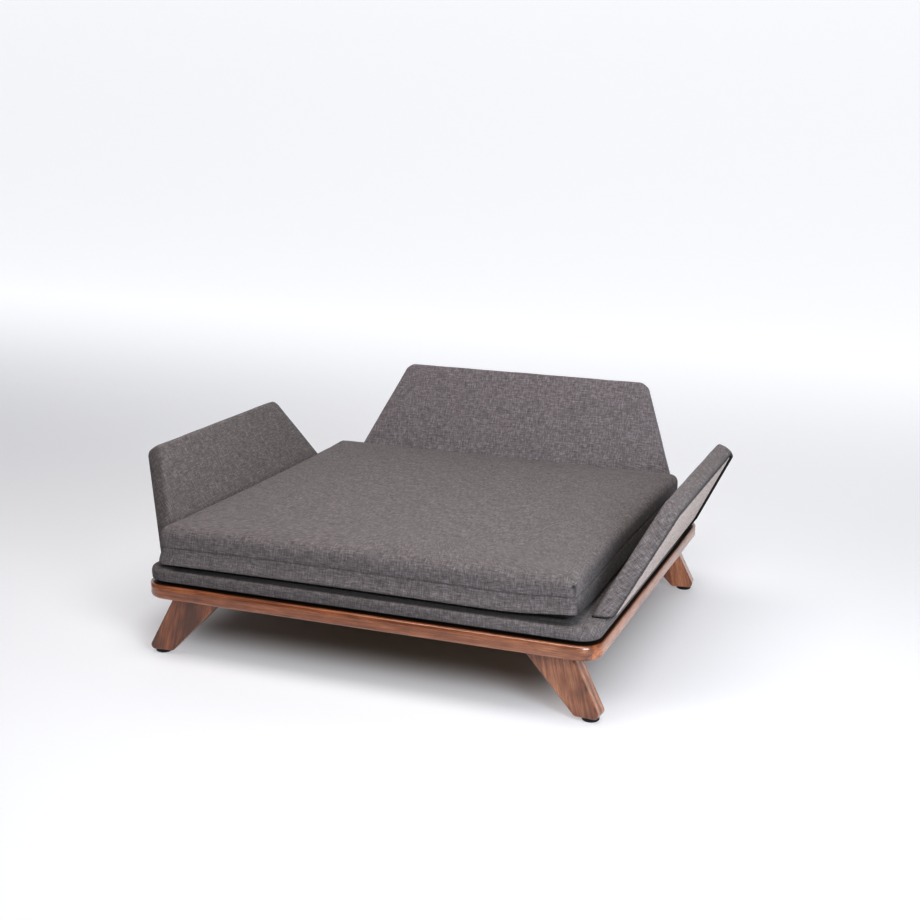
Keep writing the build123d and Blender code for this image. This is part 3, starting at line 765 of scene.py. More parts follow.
def wingRows(sizes, lean, inset, depth):
    # One row of points for each inset and depth. A point is a place on the trapezoid's inner
    # outline plus what is left of the corner radius along the outward normal, so a row keeps
    # its distance from the outline. Rows start and end just below the seat's surface.
    sideCount, cornerCount, topCount = wingShape["counts"]
    radius = wingShape["corner"]
    slope = math.atan((sizes["foot"] - sizes["top"]) / 2 / sizes["slant"])
    reach = sizes["foot"] / 2 * math.cos(slope) - radius
    cornerY = sizes["slant"] - radius
    cornerX = (reach - cornerY * math.sin(slope)) / math.cos(slope)
    spread = (radius - inset)[:, None]
    foot = (depth * math.tan(lean))[:, None] - spread * math.sin(slope) - wingShape["footSink"]
    sideY = foot + np.linspace(0, 1, sideCount)[None] * (cornerY - foot)
    sideX = (reach - sideY * math.sin(slope)) / math.cos(slope)
    topX = np.linspace(1, 0, topCount)[None, 1:] * cornerX + 0 * spread
    baseX = np.concatenate([sideX, np.repeat(cornerX + 0 * spread, cornerCount, axis=1), topX], axis=1)
    baseY = np.concatenate([sideY, np.full((len(inset), cornerCount + topCount - 1), cornerY)], axis=1)
    turn = np.concatenate([np.full(sideCount, slope), np.linspace(slope, math.pi / 2, cornerCount),
                           np.full(topCount - 1, math.pi / 2)])
    normal = np.stack([np.cos(turn), np.sin(turn)], axis=1)
    half = np.stack([baseX, baseY], axis=2) + normal[None] * spread[..., None]
    mirror = np.array([-1, 1])
    rows = np.concatenate([half, half[:, -2::-1] * mirror], axis=1)
    return rows, np.concatenate([normal, normal[-2::-1] * mirror])


def scaledRows(row, footHeight, shares):
    # Copies of a row drawn in towards the middle of its foot line by the shares.
    centre = np.array([0.0, footHeight])
    return centre + (row[None] - centre) * shares[:, None, None]


def toBed(origin, axes, flat, depth):
    # From the wing's own axes to the bed's. Depth is measured outwards from the inner face.
    return origin + flat[..., :1] * axes[0] + flat[..., 1:] * axes[1] - depth[..., None] * axes[2]


def closeFoot(grid):
    # Adds the first column again after the last one, which closes the surface on the seat.
    return np.concatenate([grid, grid[:, :1]], axis=1)


def crownDepth(inset):
    # The padded face sinks towards its rim by an exponential of the inset.
    return wingShape["crown"] * np.exp(-inset / wingShape["crownReach"])


def pleats(walk):
    # Small pleats where the band turns a corner: a sine wave under a bell at each corner.
    shape = wingShape
    cornerMiddle = walk[shape["counts"][0] + shape["counts"][1] // 2]
    wave = np.sin(walk / shape["pleatStep"]) * shape["pleatDepth"]
    return wave * sum(bell(walk - at, shape["pleatReach"]) for at in (cornerMiddle, walk[-1] - cornerMiddle))


def wingProfile():
    # Insets, bulge and depths of the rows that run from the face's outer part over the soft
    # rim, the band and the outer rim into the groove, and each of these last four's first row.
    # Rims and lip are quarter circles, and the band bulges by half a sine wave.
    shape = wingShape
    soft, hard, lip = shape["innerRound"], shape["outerRound"], shape["lipRound"]
    thick, deepest = shape["thickness"], shape["grooveDepth"]
    turn = quarterTurn(9)
    lipTurn = quarterTurn(5)[1:]
    band = np.linspace(0, 1, 7)[1:-1]
    softTop = crownDepth(soft)
    stretches = [
        (shape["faceRows"], crownDepth(shape["faceRows"])),
        (soft * (1 - np.sin(turn)), softTop + (soft - softTop) * (1 - np.cos(turn))),
        (0 * band, soft + band * (thick - hard - soft)),
        (hard * (1 - np.cos(turn)), thick - hard + hard * np.sin(turn)),
        (hard + np.append(lip * np.sin(lipTurn), [lip, lip, lip + shape["grooveFloor"]]),
         thick - np.append(lip * (1 - np.cos(lipTurn)), [shape["grooveStep"], deepest, deepest])),
    ]
    inset, depth = (np.concatenate(part) for part in zip(*stretches))
    starts = np.cumsum([len(stretch[0]) for stretch in stretches[:-1]])
    bulge = np.zeros(len(inset))
    bulge[starts[1]:starts[2]] = shape["bandBulge"] * np.sin(math.pi * band)
    return inset, bulge, depth, starts


def wingPaintedShade(name, outerRim, turned, aboveFoot, atBack, onBand):
    # Painted shade in the folds: how dark the outer rim and the groove, the foot, the hem's
    # inner side and the left wing's front band are, the darkest of them at each point.
    shape = wingShape
    rimDark = np.zeros((len(aboveFoot), 1))
    rimDark[outerRim, 0] = shape["rimPaintedShade"] * easeIn(0.3, 0.95, turned)
    groove = outerRim.stop
    rimDark[groove:, 0] = 1
    rimDark[groove:groove + len(shape["groovePaintedShades"]), 0] = shape["groovePaintedShades"]
    paintedShade = np.maximum(rimDark, shape["footPaintedShade"] * bell(aboveFoot, shape["footPaintedShadeReach"]))
    if name != "back":
        hemDark = np.zeros((len(aboveFoot), 1))
        hemDark[outerRim, 0] = shape["hemPaintedShade"] * easeIn(0.1, 0.5, turned)
        paintedShade = np.maximum(paintedShade, hemDark * atBack)
    if name == "left":
        paintedShade = np.maximum(paintedShade, shape["leftBandPaintedShade"] * onBand * atBack[:, ::-1])
    return paintedShade


def makeWing(name):
    # Padded wing: rows run from the middle of the crowned inner face, round its soft rim,
    # over the band, round the outer rim and down into the groove beside the back panel.
    shape = wingShape
    origin, axes, lean, sizes = wingPlace(name)
    phase = shape["phase"][name]
    inset, bulge, rimDepth, starts = wingProfile()
    rim, normals = wingRows(sizes, lean, inset - bulge, rimDepth)
    shares = 1 - np.linspace(0, 1, shape["faceSteps"] + 1)[:0:-1] ** 0.9
    closingShares = np.linspace(1, 0, shape["closingSteps"] + 1)[1:]
    inner = scaledRows(rim[0], -shape["footSink"], shares)
    closing = scaledRows(rim[-1], rimDepth[-1] * math.tan(lean) - shape["footSink"], closingShares)
    softStart, outerStart, grooveStart = starts[[0, 2, 3]] + len(shares)
    outerRim = slice(outerStart, grooveStart)
    turned = np.linspace(0, 1, grooveStart - outerStart)
    flat = np.concatenate([inner, rim, closing])
    rows, columns = flat.shape[:2]
    faceInset = shape["faceRows"][0] + (1 - shares) * sizes["slant"] * shape["middleInset"]
    depth = np.concatenate([crownDepth(faceInset), rimDepth, np.full(len(closing), rimDepth[-1])])[:, None]

    onFace = (np.arange(rows) < softStart + 3)[:, None]
    onBand = ((np.arange(rows) >= softStart + 3) & (np.arange(rows) < outerStart + 4))[:, None]
    aboveFoot = np.clip(flat[..., 1] - depth * math.tan(lean), 0, None)
    uneven = ripple(flat[..., 0], flat[..., 1], shape["rippleSize"], phase) * shape["unevenness"]
    depth = depth + onFace * (uneven + shape["tuck"] * np.exp(-aboveFoot / shape["tuckReach"]))
    walk = lengthAlong(rim[starts[1]])
    wave = ripple(walk + 0 * depth, depth * 2, shape["bandRipple"], phase + 1)
    wave = wave * shape["unevenness"] * shape["bandUneven"]
    flat = flat + normals[None] * (onBand * (wave + pleats(walk)))[..., None]

    # at a side wing's back edge the cloth is folded into a thick hem, with painted shade on its inner side
    sideColumns = sum(shape["counts"][:2])
    pastCorner = np.arange(columns) - (columns - sideColumns + 1)
    atBack = easeIn(0, shape["hemColumns"], pastCorner)[None]
    atBack = atBack if name == "right" else atBack[:, ::-1]
    if name != "back":
        swell = np.zeros((rows, 1))
        swell[outerRim, 0] = easeIn(0.0, 0.8, turned)
        swell[grooveStart:grooveStart + len(shape["hemRows"]), 0] = shape["hemRows"]
        depth = depth + shape["hem"] * swell * atBack
    paintedShade = wingPaintedShade(name, outerRim, turned, aboveFoot, atBack, onBand)
    rimRows = slice(len(shares), len(shares) + len(inset))
    arc = lengthAlong(np.stack([inset, depth[rimRows, sideColumns + 1]], axis=1))
    cloth = np.concatenate([inner, rim[0][None] + normals[None] * arc[:, None, None], closing])
    piece = makePiece(f"{name}_wing_upholstery", closeFoot(toBed(origin, axes, flat, depth)),
                      closeFoot(cloth), "bed_frame", linenBack if name == "back" else linen,
                      paintedShade=closeFoot(paintedShade))
    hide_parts(f"{name}_wing_cover", f"{name}_wing_foam")
    return piece


def makeWingPanel(name):
    # Covered back panel: a thin crowned slab inside the groove, with a small rounded rim. The
    # crown rises from the rim by one less an exponential of the inset.
    shape = panelShape
    origin, axes, lean, sizes = wingPlace(name)
    start = wingShape["outerRound"] + wingShape["lipRound"] + shape["seamGap"]
    outer = wingShape["thickness"] + shape["proud"]
    back, sink = wingShape["coreBack"], wingShape["footSink"]
    turn = quarterTurn(6)
    small = shape["round"]
    inset = np.concatenate([[start], start + small * (1 - np.cos(turn)), start + shape["rimRows"]])
    flush = np.full(len(shape["rimRows"]), outer)
    depth = np.concatenate([[back], outer - small + small * np.sin(turn), flush])
    rim = wingRows(sizes, lean, inset, depth)[0]
    shares = 1 - np.linspace(0, 1, 20)[1:]
    hidden = scaledRows(rim[0], back * math.tan(lean) - sink, np.linspace(0, 1, 5)[:-1])
    outside = scaledRows(rim[-1], outer * math.tan(lean) - sink, shares)
    flat = np.concatenate([hidden, rim, outside])
    depth = np.concatenate([np.full(len(hidden), back), depth, np.full(len(shares), outer)])[:, None]
    inwards = shape["rimRows"][-1] + (1 - shares) * sizes["slant"] * wingShape["middleInset"]
    edge = np.concatenate([np.zeros(len(hidden)), inset - start, inwards])[:, None]
    uneven = ripple(flat[..., 0], flat[..., 1], shape["rippleSize"], shape["phase"][name])
    uneven = uneven * shape["unevenness"]
    crown = shape["crown"] * (1 - np.exp(-edge / shape["crownReach"]))
    points = toBed(origin, axes, flat, depth + crown + uneven * (edge > 2 * millimetre))
    # painted shade: full on the hidden rows and the groove's floor, fading over the panel's rim
    dark = np.concatenate([np.ones(len(hidden) + 1), shape["rimPaintedShade"]])
    paintedShade = np.pad(dark, (0, len(flat) - len(dark)))[:, None]
    cloth = flat * np.array([-1, 1])
    piece = makePiece(f"{name}_wing_back_panel", closeFoot(points), closeFoot(cloth), "bed_frame",
                      lining, paintedShade=paintedShade)
    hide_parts(f"{name}_wing_panel_cover", f"{name}_wing_panel_board")
    return piece


for wing in ("left", "right", "back"):
    makeWing(wing)
    makeWingPanel(wing)
print("wings covered")


# Cushion

cushionShape = {
    "counts": (110, 14),              # points along a side and round a corner
    "seamHeight": 26.5 * millimetre,
    "corner": 10 * millimetre,
    "cornerHeld": 0.9,                # share of the corner radius that insets may use up
    "frontReach": 15 * millimetre,    # how far the soft front stands over the platform's edge
    "lowerLift": 3.6 * millimetre,    # how high the lower edge hangs above the platform
    "lowerRound": 2.6 * millimetre,
    "liftReach": 32 * millimetre,     # from the lower edge to where the underside lies flat
    "underRows": 23,                  # rows of the flat underside
    "seamRows": np.array([-4, -2.4, -1.5, -0.9, -0.45, 0, 0.45, 0.9, 1.5, 2.4, 4]) * millimetre,
    "topRows": np.array([5, 12, 22, 36, 54, 76]) * millimetre,
    "topInset": 13 * millimetre,      # how far the top rolls in over the edge
    "topDrop": 13.5 * millimetre,
    "crown": 1.4 * millimetre,
    "crownReach": 40 * millimetre,
    "bow": 3.0 * millimetre,          # how far a side is drawn in at its middle
    "ear": 1.5 * millimetre,          # how far a corner stands out
    "voxel": 6 * millimetre,          # the blown-up skin: its mesh, cloth settings and steps
    "skin": {"quality": 5, "mass": 0.3, "tension_stiffness": 15, "compression_stiffness": 15,
             "bending_stiffness": 2.0, "use_pressure": True, "uniform_pressure_force": 4.0},
    "steps": 20,
    "swellLimit": 3.0 * millimetre,
}

cushionSewing = {
    "seamDepth": 0.9 * millimetre,
    "seamWidth": 1.5 * millimetre,
    "gatherStep": 6.2 * millimetre,
    "gatherSize": 23 * millimetre,
    "gatherGains": (0.3, 0.2),        # how much the seam's depth varies slowly, and by gathers
    "wrinkle": 0.45 * millimetre,
    "wrinkleSize": 21 * millimetre,
    "wrinkleReach": 9 * millimetre,
    "cornerLift": 7.5 * millimetre,   # the front right corner's lift, and how far it reaches
    "cornerReach": 55 * millimetre,
    "fold": 1.2 * millimetre,         # the corner border's fold, the pucker above it and the bend
    "foldWidth": 2.2 * millimetre,    # that joins them: how deep and how wide each is
    "pucker": 2.4 * millimetre,
    "puckerWidth": 2.4 * millimetre,
    "puckerTall": 2.6 * millimetre,
    "puckerHeight": 15 * millimetre,
    "bend": 0.8 * millimetre,
    "bendWidth": 1.3 * millimetre,
    # painted shade: the seam's valley, the pucker and the bend, under the front's lower edge, and low on the sides in
    # the narrow gap beside the wings
    "paintedShades": {"valley": 0.28, "pucker": 0.9, "bend": 0.25, "underside": 0.8, "besideWing": 0.65},
}


def cushionRows():
    # Rows of the boxed cushion from the underside's flat part to the top's: heights above its
    # underside, insets from its outline, and the numbers of the lower edge's and seam's rows.
    # The underside lifts by a square towards its edge, and the rest is rounds and straights.
    shape = cushionShape
    thick = cushionHigh[2] - cushionLow[2]
    lift, small, seam = shape["lowerLift"], shape["lowerRound"], shape["seamHeight"]
    near = shape["seamRows"]
    turn = quarterTurn(7)
    topTurn = quarterTurn(11)
    slope = np.linspace(1, 0, 9)[:-1]
    topStart = thick - shape["crown"] - shape["topDrop"]
    lowWall = np.linspace(lift + small, seam + near[0], 8)[1:-1]
    highWall = np.linspace(seam + near[-1], topStart, 6)[1:-1]
    height = np.concatenate([lift * (1 - slope) ** 2, lift + small * (1 - np.cos(turn)), lowWall,
                             seam + near, highWall, topStart + shape["topDrop"] * np.sin(topTurn) ** 0.92,
                             thick - shape["crown"] * np.exp(-shape["topRows"] / shape["crownReach"])])
    inset = np.concatenate([small + (shape["liftReach"] - small) * slope, small * (1 - np.sin(turn)),
                            np.zeros(len(lowWall) + len(near) + len(highWall)),
                            shape["topInset"] * (1 - np.cos(topTurn)) ** 1.1,
                            shape["topInset"] + shape["topRows"]])
    seamRow = len(slope) + len(turn) + len(lowWall) + len(near) // 2
    return height, inset, len(slope), seamRow


def cushionSurface():
    # The cushion's grid of points: rounded rectangle rows whose sides are drawn in at their
    # middle by a parabola and stand out a little at the corners.
    shape = cushionShape
    front = cushionLow[1] - shape["frontReach"]
    half = np.array([cushionHigh[0] - cushionLow[0], cushionHigh[1] - front]) / 2
    centre = np.array([cushionHigh[0] + cushionLow[0], cushionHigh[1] + front]) / 2
    height, inset, edgeRow, seamRow = cushionRows()
    corner = shape["corner"]
    base, normal, share = roundedPath(half[0], half[1], corner, *shape["counts"])
    bow = (shape["bow"] + shape["ear"]) * 4 * share * (1 - share) - shape["ear"]
    bow = bow * (normal[:, 1] < 0.5)         # the zip's side stays straight
    held = corner * shape["cornerHeld"]
    spread = (corner - np.minimum(inset, held))[:, None] - bow[None]
    past = np.clip(inset - held, 0, None)[:, None]
    flat = (base[None] + normal[None] * spread[..., None]) * (1 - past / half)[:, None]
    rim = rowsAt(flat, height)
    under = rim[:1] * np.linspace(0, 1, shape["underRows"] + 1)[:-1, None, None]
    under[..., 2] = 0
    inwards = 1 - np.linspace(0, 1, 34)[1:]
    over = rim[-1:] * inwards[:, None, None]
    top = cushionHigh[2] - cushionLow[2]
    over[..., 2] = top - (top - height[-1]) * inwards[:, None] ** 2
    points = np.concatenate([under, rim, over]) + [*centre, cushionLow[2]]

    arc = lengthAlong(np.stack([inset, height], axis=1))
    spread = corner - inset[-1] + arc[-1] - arc
    rimCloth = base[None] + normal[None] * spread[:, None, None]
    topCloth = np.concatenate([under[..., :2], rimCloth, over[..., :2]])
    walk = lengthAlong(base + normal * corner)
    rise = np.concatenate([np.linspace(-0.3, 0, len(under) + 1)[:-1], arc, np.full(len(over), arc[-1])])
    borderCloth = np.stack(np.broadcast_arrays(walk[None], rise[:, None]), axis=2)
    rows = (edgeRow + len(under), seamRow + len(under))
    return points, topCloth, borderCloth, rows, normal[None], walk[None]


def settle(piece):
    # Replaces the mesh by what its modifiers give, and removes them.
    view = bpy.context.evaluated_depsgraph_get()
    made = bpy.data.meshes.new_from_object(piece.evaluated_get(view))
    piece.modifiers.clear()
    piece.data = made


def makeAir(points):
    # The closed cloth skin that is blown up: an evenly remeshed copy of the cushion.
    shape = cushionShape
    rows, columns = points.shape[:2]
    faces = gridFaces(rows, columns - 1, ring=True)
    mesh = newMesh("air", points[:, :-1], faces.tolist())
    finishMesh(mesh, 1e-5)
    air = newObject("air", mesh)
    remesh = air.modifiers.new("remesh", "REMESH")
    remesh.mode = "VOXEL"
    remesh.voxel_size = shape["voxel"]
    settle(air)
    cloth = air.modifiers.new("cloth", "CLOTH")
    for key, value in shape["skin"].items():
        setattr(cloth.settings, key, value)
    cloth.settings.effector_weights.gravity = 0
    cloth.point_cache.frame_start = 1
    cloth.point_cache.frame_end = shape["steps"]
    return air


def swellCushion(points):
    # The grid of points is bound to the blown-up skin and follows it. Each point's move is kept,
    # and shortened to the limit where it is longer.
    shape = cushionShape
    scene = bpy.context.scene
    air = makeAir(points)
    layer = newObject("layer", newMesh("layer", points, []))
    follow = layer.modifiers.new("follow", "SURFACE_DEFORM")
    follow.target = air
    follow.falloff = 3.0
    scene.frame_set(1)
    with bpy.context.temp_override(object=layer, active_object=layer):
        bpy.ops.object.surfacedeform_bind(modifier=follow.name)
    for step in range(1, shape["steps"] + 1):
        scene.frame_set(step)
    view = bpy.context.evaluated_depsgraph_get()
    swollen = np.empty(points.size)
    layer.evaluated_get(view).data.vertices.foreach_get("co", swollen)
    move = swollen.reshape(points.shape) - points
    length = np.linalg.norm(move, axis=2, keepdims=True)
    print("cushion skin bound:", follow.is_bound, "largest move", float(length.max()))
    scene.frame_set(1)
    bpy.data.objects.remove(layer)
    bpy.data.objects.remove(air)
    return move * np.minimum(1, shape["swellLimit"] / np.maximum(length, 1e-9))


def sewnCorner(fromFold, fromSeam, wall):
    # How deep a point lies in each of three marks, as a bell across it: the fold down the
    # corner's border, the pucker above the seam, and the bend that joins them.
    sewing = cushionSewing
    fold = bell(fromFold, sewing["foldWidth"]) * easeIn(2 * millimetre, -3 * millimetre, fromSeam) * wall
    pucker = bell(fromFold + 1 * millimetre, sewing["puckerWidth"])
    pucker = pucker * bell(fromSeam - sewing["puckerHeight"], sewing["puckerTall"])
    bend = bell(fromFold - 0.12 * fromSeam, sewing["bendWidth"])
    return fold, pucker, bend * (fromSeam > 0) * (fromSeam < 16 * millimetre) * wall


def makeCushion():
    # The swollen skin gives the form; then the seam, the lifted front right corner with its
    # sewn fold, and the small gathers are pressed in, as bells about a line or a place.
    shape, sewing = cushionShape, cushionSewing
    points, topCloth, borderCloth, (edgeRow, seamRow), normal, walk = cushionSurface()
    start = points.copy()
    height = start[..., 2] - cushionLow[2]
    share = easeIn(6 * millimetre, 20 * millimetre, height)
    points = points + swellCushion(points) * share[..., None]

    # the seam with its gathers and wrinkles; the wall runs up to where the top has rolled in
    fromSeam = height - shape["seamHeight"]
    rows = np.arange(len(points))[:, None]
    wall = (rows > edgeRow) & (rows < seamRow + 18)
    notZip = 1 - easeIn(cushionHigh[1] - 12 * millimetre, cushionHigh[1] - 4 * millimetre, start[..., 1])
    valley = bell(fromSeam, sewing["seamWidth"]) * wall * notZip
    around = walk + 0 * height
    slowGain, stepGain = sewing["gatherGains"]
    gather = 1 + slowGain * ripple(around, height, sewing["gatherSize"], 0.9)
    gather = gather + stepGain * np.sin(walk * 2 * math.pi / sewing["gatherStep"])
    wrinkle = np.exp(-np.abs(fromSeam) / sewing["wrinkleReach"])
    wrinkle = wrinkle * ripple(around, height * 0.35, sewing["wrinkleSize"], 2.2)
    press = sewing["seamDepth"] * valley * gather + sewing["wrinkle"] * wrinkle * wall * notZip

    # the front right corner: lifted, with a fold down its border and a pucker above the seam
    corner = np.array([cushionHigh[0], cushionLow[1] - shape["frontReach"]])
    nearCorner = bell(np.hypot(*np.moveaxis(start[..., :2] - corner, 2, 0)), sewing["cornerReach"])
    lowPart = easeIn(1.0, 0.15, height / (cushionHigh[2] - cushionLow[2]))
    lift = nearCorner * sewing["cornerLift"] * (0.25 + 0.75 * lowPart)
    points[..., 2] += lift * (height > 1 * millimetre)
    cornerAt = np.argmin(np.hypot(*(start[seamRow, :, :2] - corner).T))
    fold, pucker, bend = sewnCorner(walk - walk[0, cornerAt], fromSeam, wall)
    press = press - sewing["fold"] * fold + sewing["pucker"] * pucker + sewing["bend"] * bend
    points[..., :2] -= normal * press[..., None]
    points[..., 2] = np.maximum(points[..., 2], cushionLow[2])

    # painted shade under the front's lower edge and low on the sides beside the wings
    underside = easeIn(4 * millimetre, 0, height) * (rows <= edgeRow + 3)
    underside = underside * easeIn(40 * millimetre, 15 * millimetre, start[..., 1] - corner[1])
    besideWing = easeIn(0.7, 0.95, np.abs(normal[..., 0])) * wall
    besideWing = besideWing * easeIn(shape["seamHeight"], 0.3 * shape["seamHeight"], height)
    dark = {"valley": valley ** 2, "pucker": pucker, "bend": bend, "underside": underside,
            "besideWing": besideWing}
    paintedShade = sum(gain * dark[key] for key, gain in sewing["paintedShades"].items())
    piece = makePiece("cushion_body", points, [(0, borderCloth), (seamRow, topCloth)], "cushion",
                      linen, paintedShade=np.clip(paintedShade, 0, 1), weld=1e-5)
    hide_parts("cushion_cover", "cushion_foam")
    return piece


makeCushion()
print("cushion made")


# Zip at the cushion's back

zipShape = {
    # half of each profile, with sizes in millimetres or as a share: mirrored gives the rest
    "tape": [(0, -1.0), (0, 0.1), (0.05, 0.35), (0.30, 0.45), (0.36, 0.75), (0.40, 0.65), (0.42, 0.1)],
    "tooth": [(0, 0), (0, 0.55), (0.08, 0.9), (0.4, 1.0)],
    "tab": [(0, 1.0), (0, 0.9), (0, 0.35), (0.1, 0.12), (0.3, 0)],
    "tapeUnevenness": 0.12 * millimetre,
    "toothPitch": 1.5 * millimetre,
    "toothWidth": 0.95 * millimetre,
    "toothLean": 0.5 * millimetre,
    "tabLength": 17 * millimetre,
    "tabHeight": 5.0 * millimetre,
    "tabThickness": 1.1 * millimetre,
    "tabClear": 0.15 * millimetre,
    "tabOverlap": 2 * millimetre,
}


def makeZipTape():
    # A flat strip with two folded cloth lips: one profile carried along the zip.
    low, high = boxOf("zip_tape")
    across, proud = mirrored(zipShape["tape"])
    run = np.linspace(low[0], high[0], 150)
    uneven = zipShape["tapeUnevenness"] * ripple(run, 0 * run, 0.03, 1.1)
    face = high[1] + proud * millimetre + uneven[:, None] * (proud > 0)
    rise = low[2] + across * (high[2] - low[2])
    points = np.stack(np.broadcast_arrays(run[:, None], face, rise[None]), axis=2)
    points = np.concatenate([points, points[:, :1]], axis=1)
    middle = points.mean(axis=1, keepdims=True)
    points = np.concatenate([middle[:1] + 0 * points[:1], points, middle[-1:] + 0 * points[-1:]])
    piece = makePiece("zip_tape_strip", points, points[..., [0, 2]], "cushion", zipTape)
    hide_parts("zip_tape")
    return piece


def makeZipCoil():
    # Interlocking coil: a row of small rounded bars, each a ring of points carried from its
    # lower to its upper end and drawn in at both, leaning one way and then the other.
    low, high = boxOf("zip_coil")
    shape = zipShape
    count = int((high[0] - low[0]) / shape["toothPitch"])
    turn = np.linspace(0, 2 * math.pi, 9)
    rise, girth = mirrored(shape["tooth"])
    ring = np.stack([np.cos(turn) * shape["toothWidth"], np.sin(turn) * (high[1] - low[1])], axis=1) / 2
    bar = rowsAt(ring[None] * girth[:, None, None], rise * (high[2] - low[2]))
    number = np.arange(count)
    lean = (number % 2 - 0.5) * shape["toothLean"]
    middle = [low[0] + shape["toothPitch"] / 2, (low[1] + high[1]) / 2, low[2]]
    bars = np.repeat(bar[None], count, axis=0) + middle
    bars[..., 0] += (shape["toothPitch"] * number[:, None] + lean[:, None] * (rise - 0.5))[..., None]
    faces = gridFaces(len(rise), len(turn))[None] + len(rise) * len(turn) * number[:, None, None]
    mesh = newMesh("zip_coil_teeth", bars, faces.reshape(-1, 4).tolist())
    finishMesh(mesh, 1e-6)
    piece = addPiece("zip_coil_teeth", mesh, "cushion", zipNylon)
    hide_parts("zip_coil")
    return piece


def makeZipTab():
    # Pull tab: a flat bar with rounded ends, lying along the zip.
    low, high = boxOf("zip_slider")
    shape = zipShape
    tall = shape["tabHeight"]
    straight = (shape["tabLength"] - tall) / 2
    angle = np.linspace(0, 2 * math.pi, 49)
    outlineX = np.cos(angle) * tall / 2 + np.sign(np.cos(angle)) * straight
    outlineZ = np.sin(angle) * tall / 2 * (0.8 + 0.2 * np.abs(np.cos(angle)))
    depth, inset = (part[:, None] for part in mirrored(shape["tab"]))
    points = np.stack([outlineX * (1 - inset), depth * shape["tabThickness"] + 0 * outlineX,
                       outlineZ * (1 - inset)], axis=2)
    points += [low[0] - straight + shape["tabOverlap"], high[1] + shape["tabClear"], (low[2] + high[2]) / 2]
    return makePiece("zip_pull_tab", points, points[..., [0, 2]], "zip_slider", zipMetal)


makeZipTape()
makeZipCoil()
makeZipTab()
print("zip made")


# Camera, floor and light

cameraPlace = {
    "place": (0.68904, -1.84810, 0.70002),
    "azimuth": 20.22,                 # degrees to the left of straight ahead
    "pitch": 13.75,                   # degrees down
    "roll": -0.98,
    "lens": 57.07,
}


def makeCamera():
    # Looks along the measured direction: forward, then right turned by the roll.
    azimuth, pitch, roll = (math.radians(cameraPlace[key]) for key in ("azimuth", "pitch", "roll"))
    level = Vector((math.cos(azimuth), math.sin(azimuth), 0))
    ahead = Vector((-math.sin(azimuth), math.cos(azimuth), 0))
    forward = ahead * math.cos(pitch) - Vector((0, 0, math.sin(pitch)))
    down = forward.cross(level)
    right = math.cos(roll) * level + math.sin(roll) * down
    below = math.cos(roll) * down - math.sin(roll) * level
    data = bpy.data.cameras.new("camera")
    data.lens = cameraPlace["lens"]
    data.sensor_width = 36.0
    data.clip_end = 60
    camera = newObject("camera", data)
    turned = Matrix((right, -below, -forward)).transposed().to_4x4()
    camera.matrix_world = Matrix.Translation(Vector(cameraPlace["place"])) @ turned
    bpy.context.scene.camera = camera


studio = {
    "floorColour": (0.40, 0.405, 0.42),
    "floorEnds": 12,                  # where the floor bends up at the front and the sides
    "sideBend": 2.2,
    "wallDistance": 2.6,
    "wallBend": 1.6,
    "wallHeight": 9.0,
    "wallGlow": 0.825,
    "glowColour": (0.97, 0.975, 1.0),
    "floorGlow": 0.53,                # painted light: the paper's glow away from the bed
    "glowStart": 0.085,               # how far inside the bed's outline it begins
    "glowReach": 0.155,
    "glowCentre": (-0.035, 0.02, 0.0),
    "farGlow": 0.12,                  # what is left of the glow past the camera
    "leftGlow": 0.87,                 # painted shade: the floor glows a little less on the left
    "worldColour": (0.93, 0.95, 1.0),
    "worldStrength": 0.01,
    "contrast": 1.3,
}

studioLights = {
    "overhead": {"place": (0.05, -0.46, 1.62), "aim": (0.0, 0.0, 0.1), "size": (1.4, 0.9), "power": 23,
                 "colour": (1.0, 0.95, 0.915)},
    "frontRight": {"place": (1.0, -1.1, 0.78), "aim": (0.1, -0.1, 0.1), "size": (0.5, 0.5), "power": 15,
                   "colour": (0.86, 0.94, 1.0)},
    "leftFront": {"place": (-1.0, -1.0, 1.85), "aim": (0.0, 0.0, 0.1), "size": (1.2, 0.6), "power": 1.7,
                  "colour": (1.0, 0.84, 0.72)},
}


def bentUp(distance, radius):
    # Where a floor ends in a quarter circle and a wall: distances from the middle, and heights.
    turn = np.linspace(-math.pi / 2, 0, 24)
    away = np.append(distance + radius * np.cos(turn), distance + radius)
    return away, np.append(radius + radius * np.sin(turn), studio["wallHeight"])


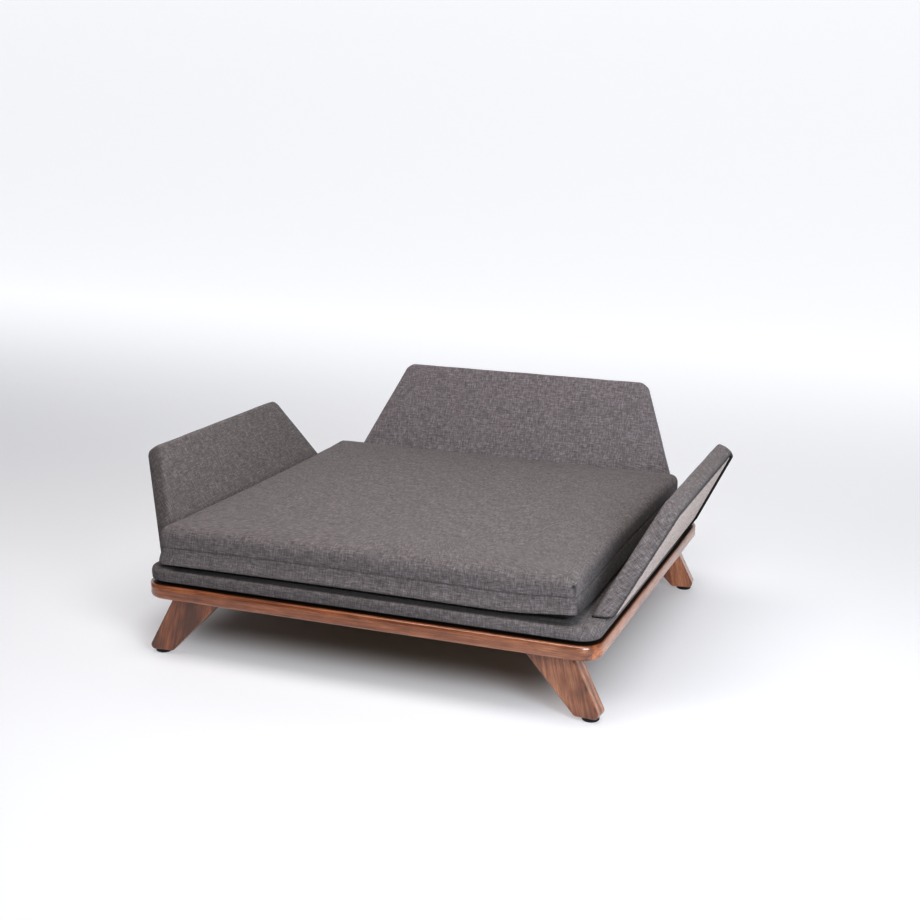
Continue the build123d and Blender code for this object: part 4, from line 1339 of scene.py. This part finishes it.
def paperGlow(shade):
    # Painted light: the floor glows from a smooth step round the bed on, so that the bed stands
    # in a painted shadow, less on the left and far away, and the wall behind it by a second step.
    place = shade.place()
    across, back = shade.split(place)[:2]
    half = (halfWidth - studio["glowStart"], halfDepth - studio["glowStart"], 0)
    away = shade.outsideBox(place, studio["glowCentre"], half)
    paper = shade.smooth(0.0, studio["glowReach"], away, 0.0, studio["floorGlow"])
    paper = paper * shade.smooth(6.0, 12.0, away, 1.0, studio["farGlow"])
    onLeft = shade.smooth(-1.1, -0.1, across, studio["leftGlow"], 1.0)
    paper = paper * shade.smooth(0.5, 2.0, back, onLeft, 1.0)
    more = studio["wallGlow"] - studio["floorGlow"]
    return paper + shade.smooth(0.3, studio["wallDistance"], back, 0.0, more)


def makeFloor():
    # A pale floor that bends up into walls: at each point the higher of two profiles, one from
    # front to back and one across.
    back, backRise = bentUp(studio["wallDistance"], studio["wallBend"])
    side, sideRise = bentUp(studio["floorEnds"], studio["sideBend"])
    y = np.concatenate([-side[::-1], [-4.0, 0.0], back])
    yRise = np.concatenate([sideRise[::-1], [0.0, 0.0], backRise])
    x = np.concatenate([-side[::-1], np.linspace(-8, 8, 5), side])
    xRise = np.concatenate([sideRise[::-1], np.zeros(5), sideRise])
    rise = np.maximum(yRise[:, None], xRise[None])
    points = np.stack(np.broadcast_arrays(x[None], y[:, None], rise), axis=2)
    mesh = newMesh("studio_floor", points, gridFaces(len(y), len(x)).tolist())
    smoothFaces(mesh)
    floor = newObject("studio_floor", mesh)
    shade = Shade("studioFloor")
    shade.set(Base_Color=(*studio["floorColour"], 1.0), Roughness=0.85, Specular_IOR_Level=0.2,
              Emission_Color=(*studio["glowColour"], 1.0), Emission_Strength=paperGlow(shade))
    mesh.materials.append(shade.material)


def makeLights():
    for name, light in studioLights.items():
        data = bpy.data.lights.new(name, "AREA")
        data.shape = "RECTANGLE"
        data.size, data.size_y = light["size"]
        data.energy = light["power"]
        data.color = light["colour"]
        lamp = newObject(name, data)
        place = Vector(light["place"])
        aim = Vector(light["aim"]) - place
        lamp.matrix_world = Matrix.Translation(place) @ aim.to_track_quat("-Z", "Y").to_matrix().to_4x4()
    world = bpy.data.worlds.new("studio")
    bpy.context.scene.world = world
    world.use_nodes = True
    sky = world.node_tree.nodes["Background"]
    sky.inputs["Color"].default_value = (*studio["worldColour"], 1.0)
    sky.inputs["Strength"].default_value = studio["worldStrength"]
    bpy.context.scene.view_settings.view_transform = "Standard"
    bpy.context.scene.view_settings.gamma = 1 / studio["contrast"]


makeCamera()
makeFloor()
makeLights()
print("camera and light set")
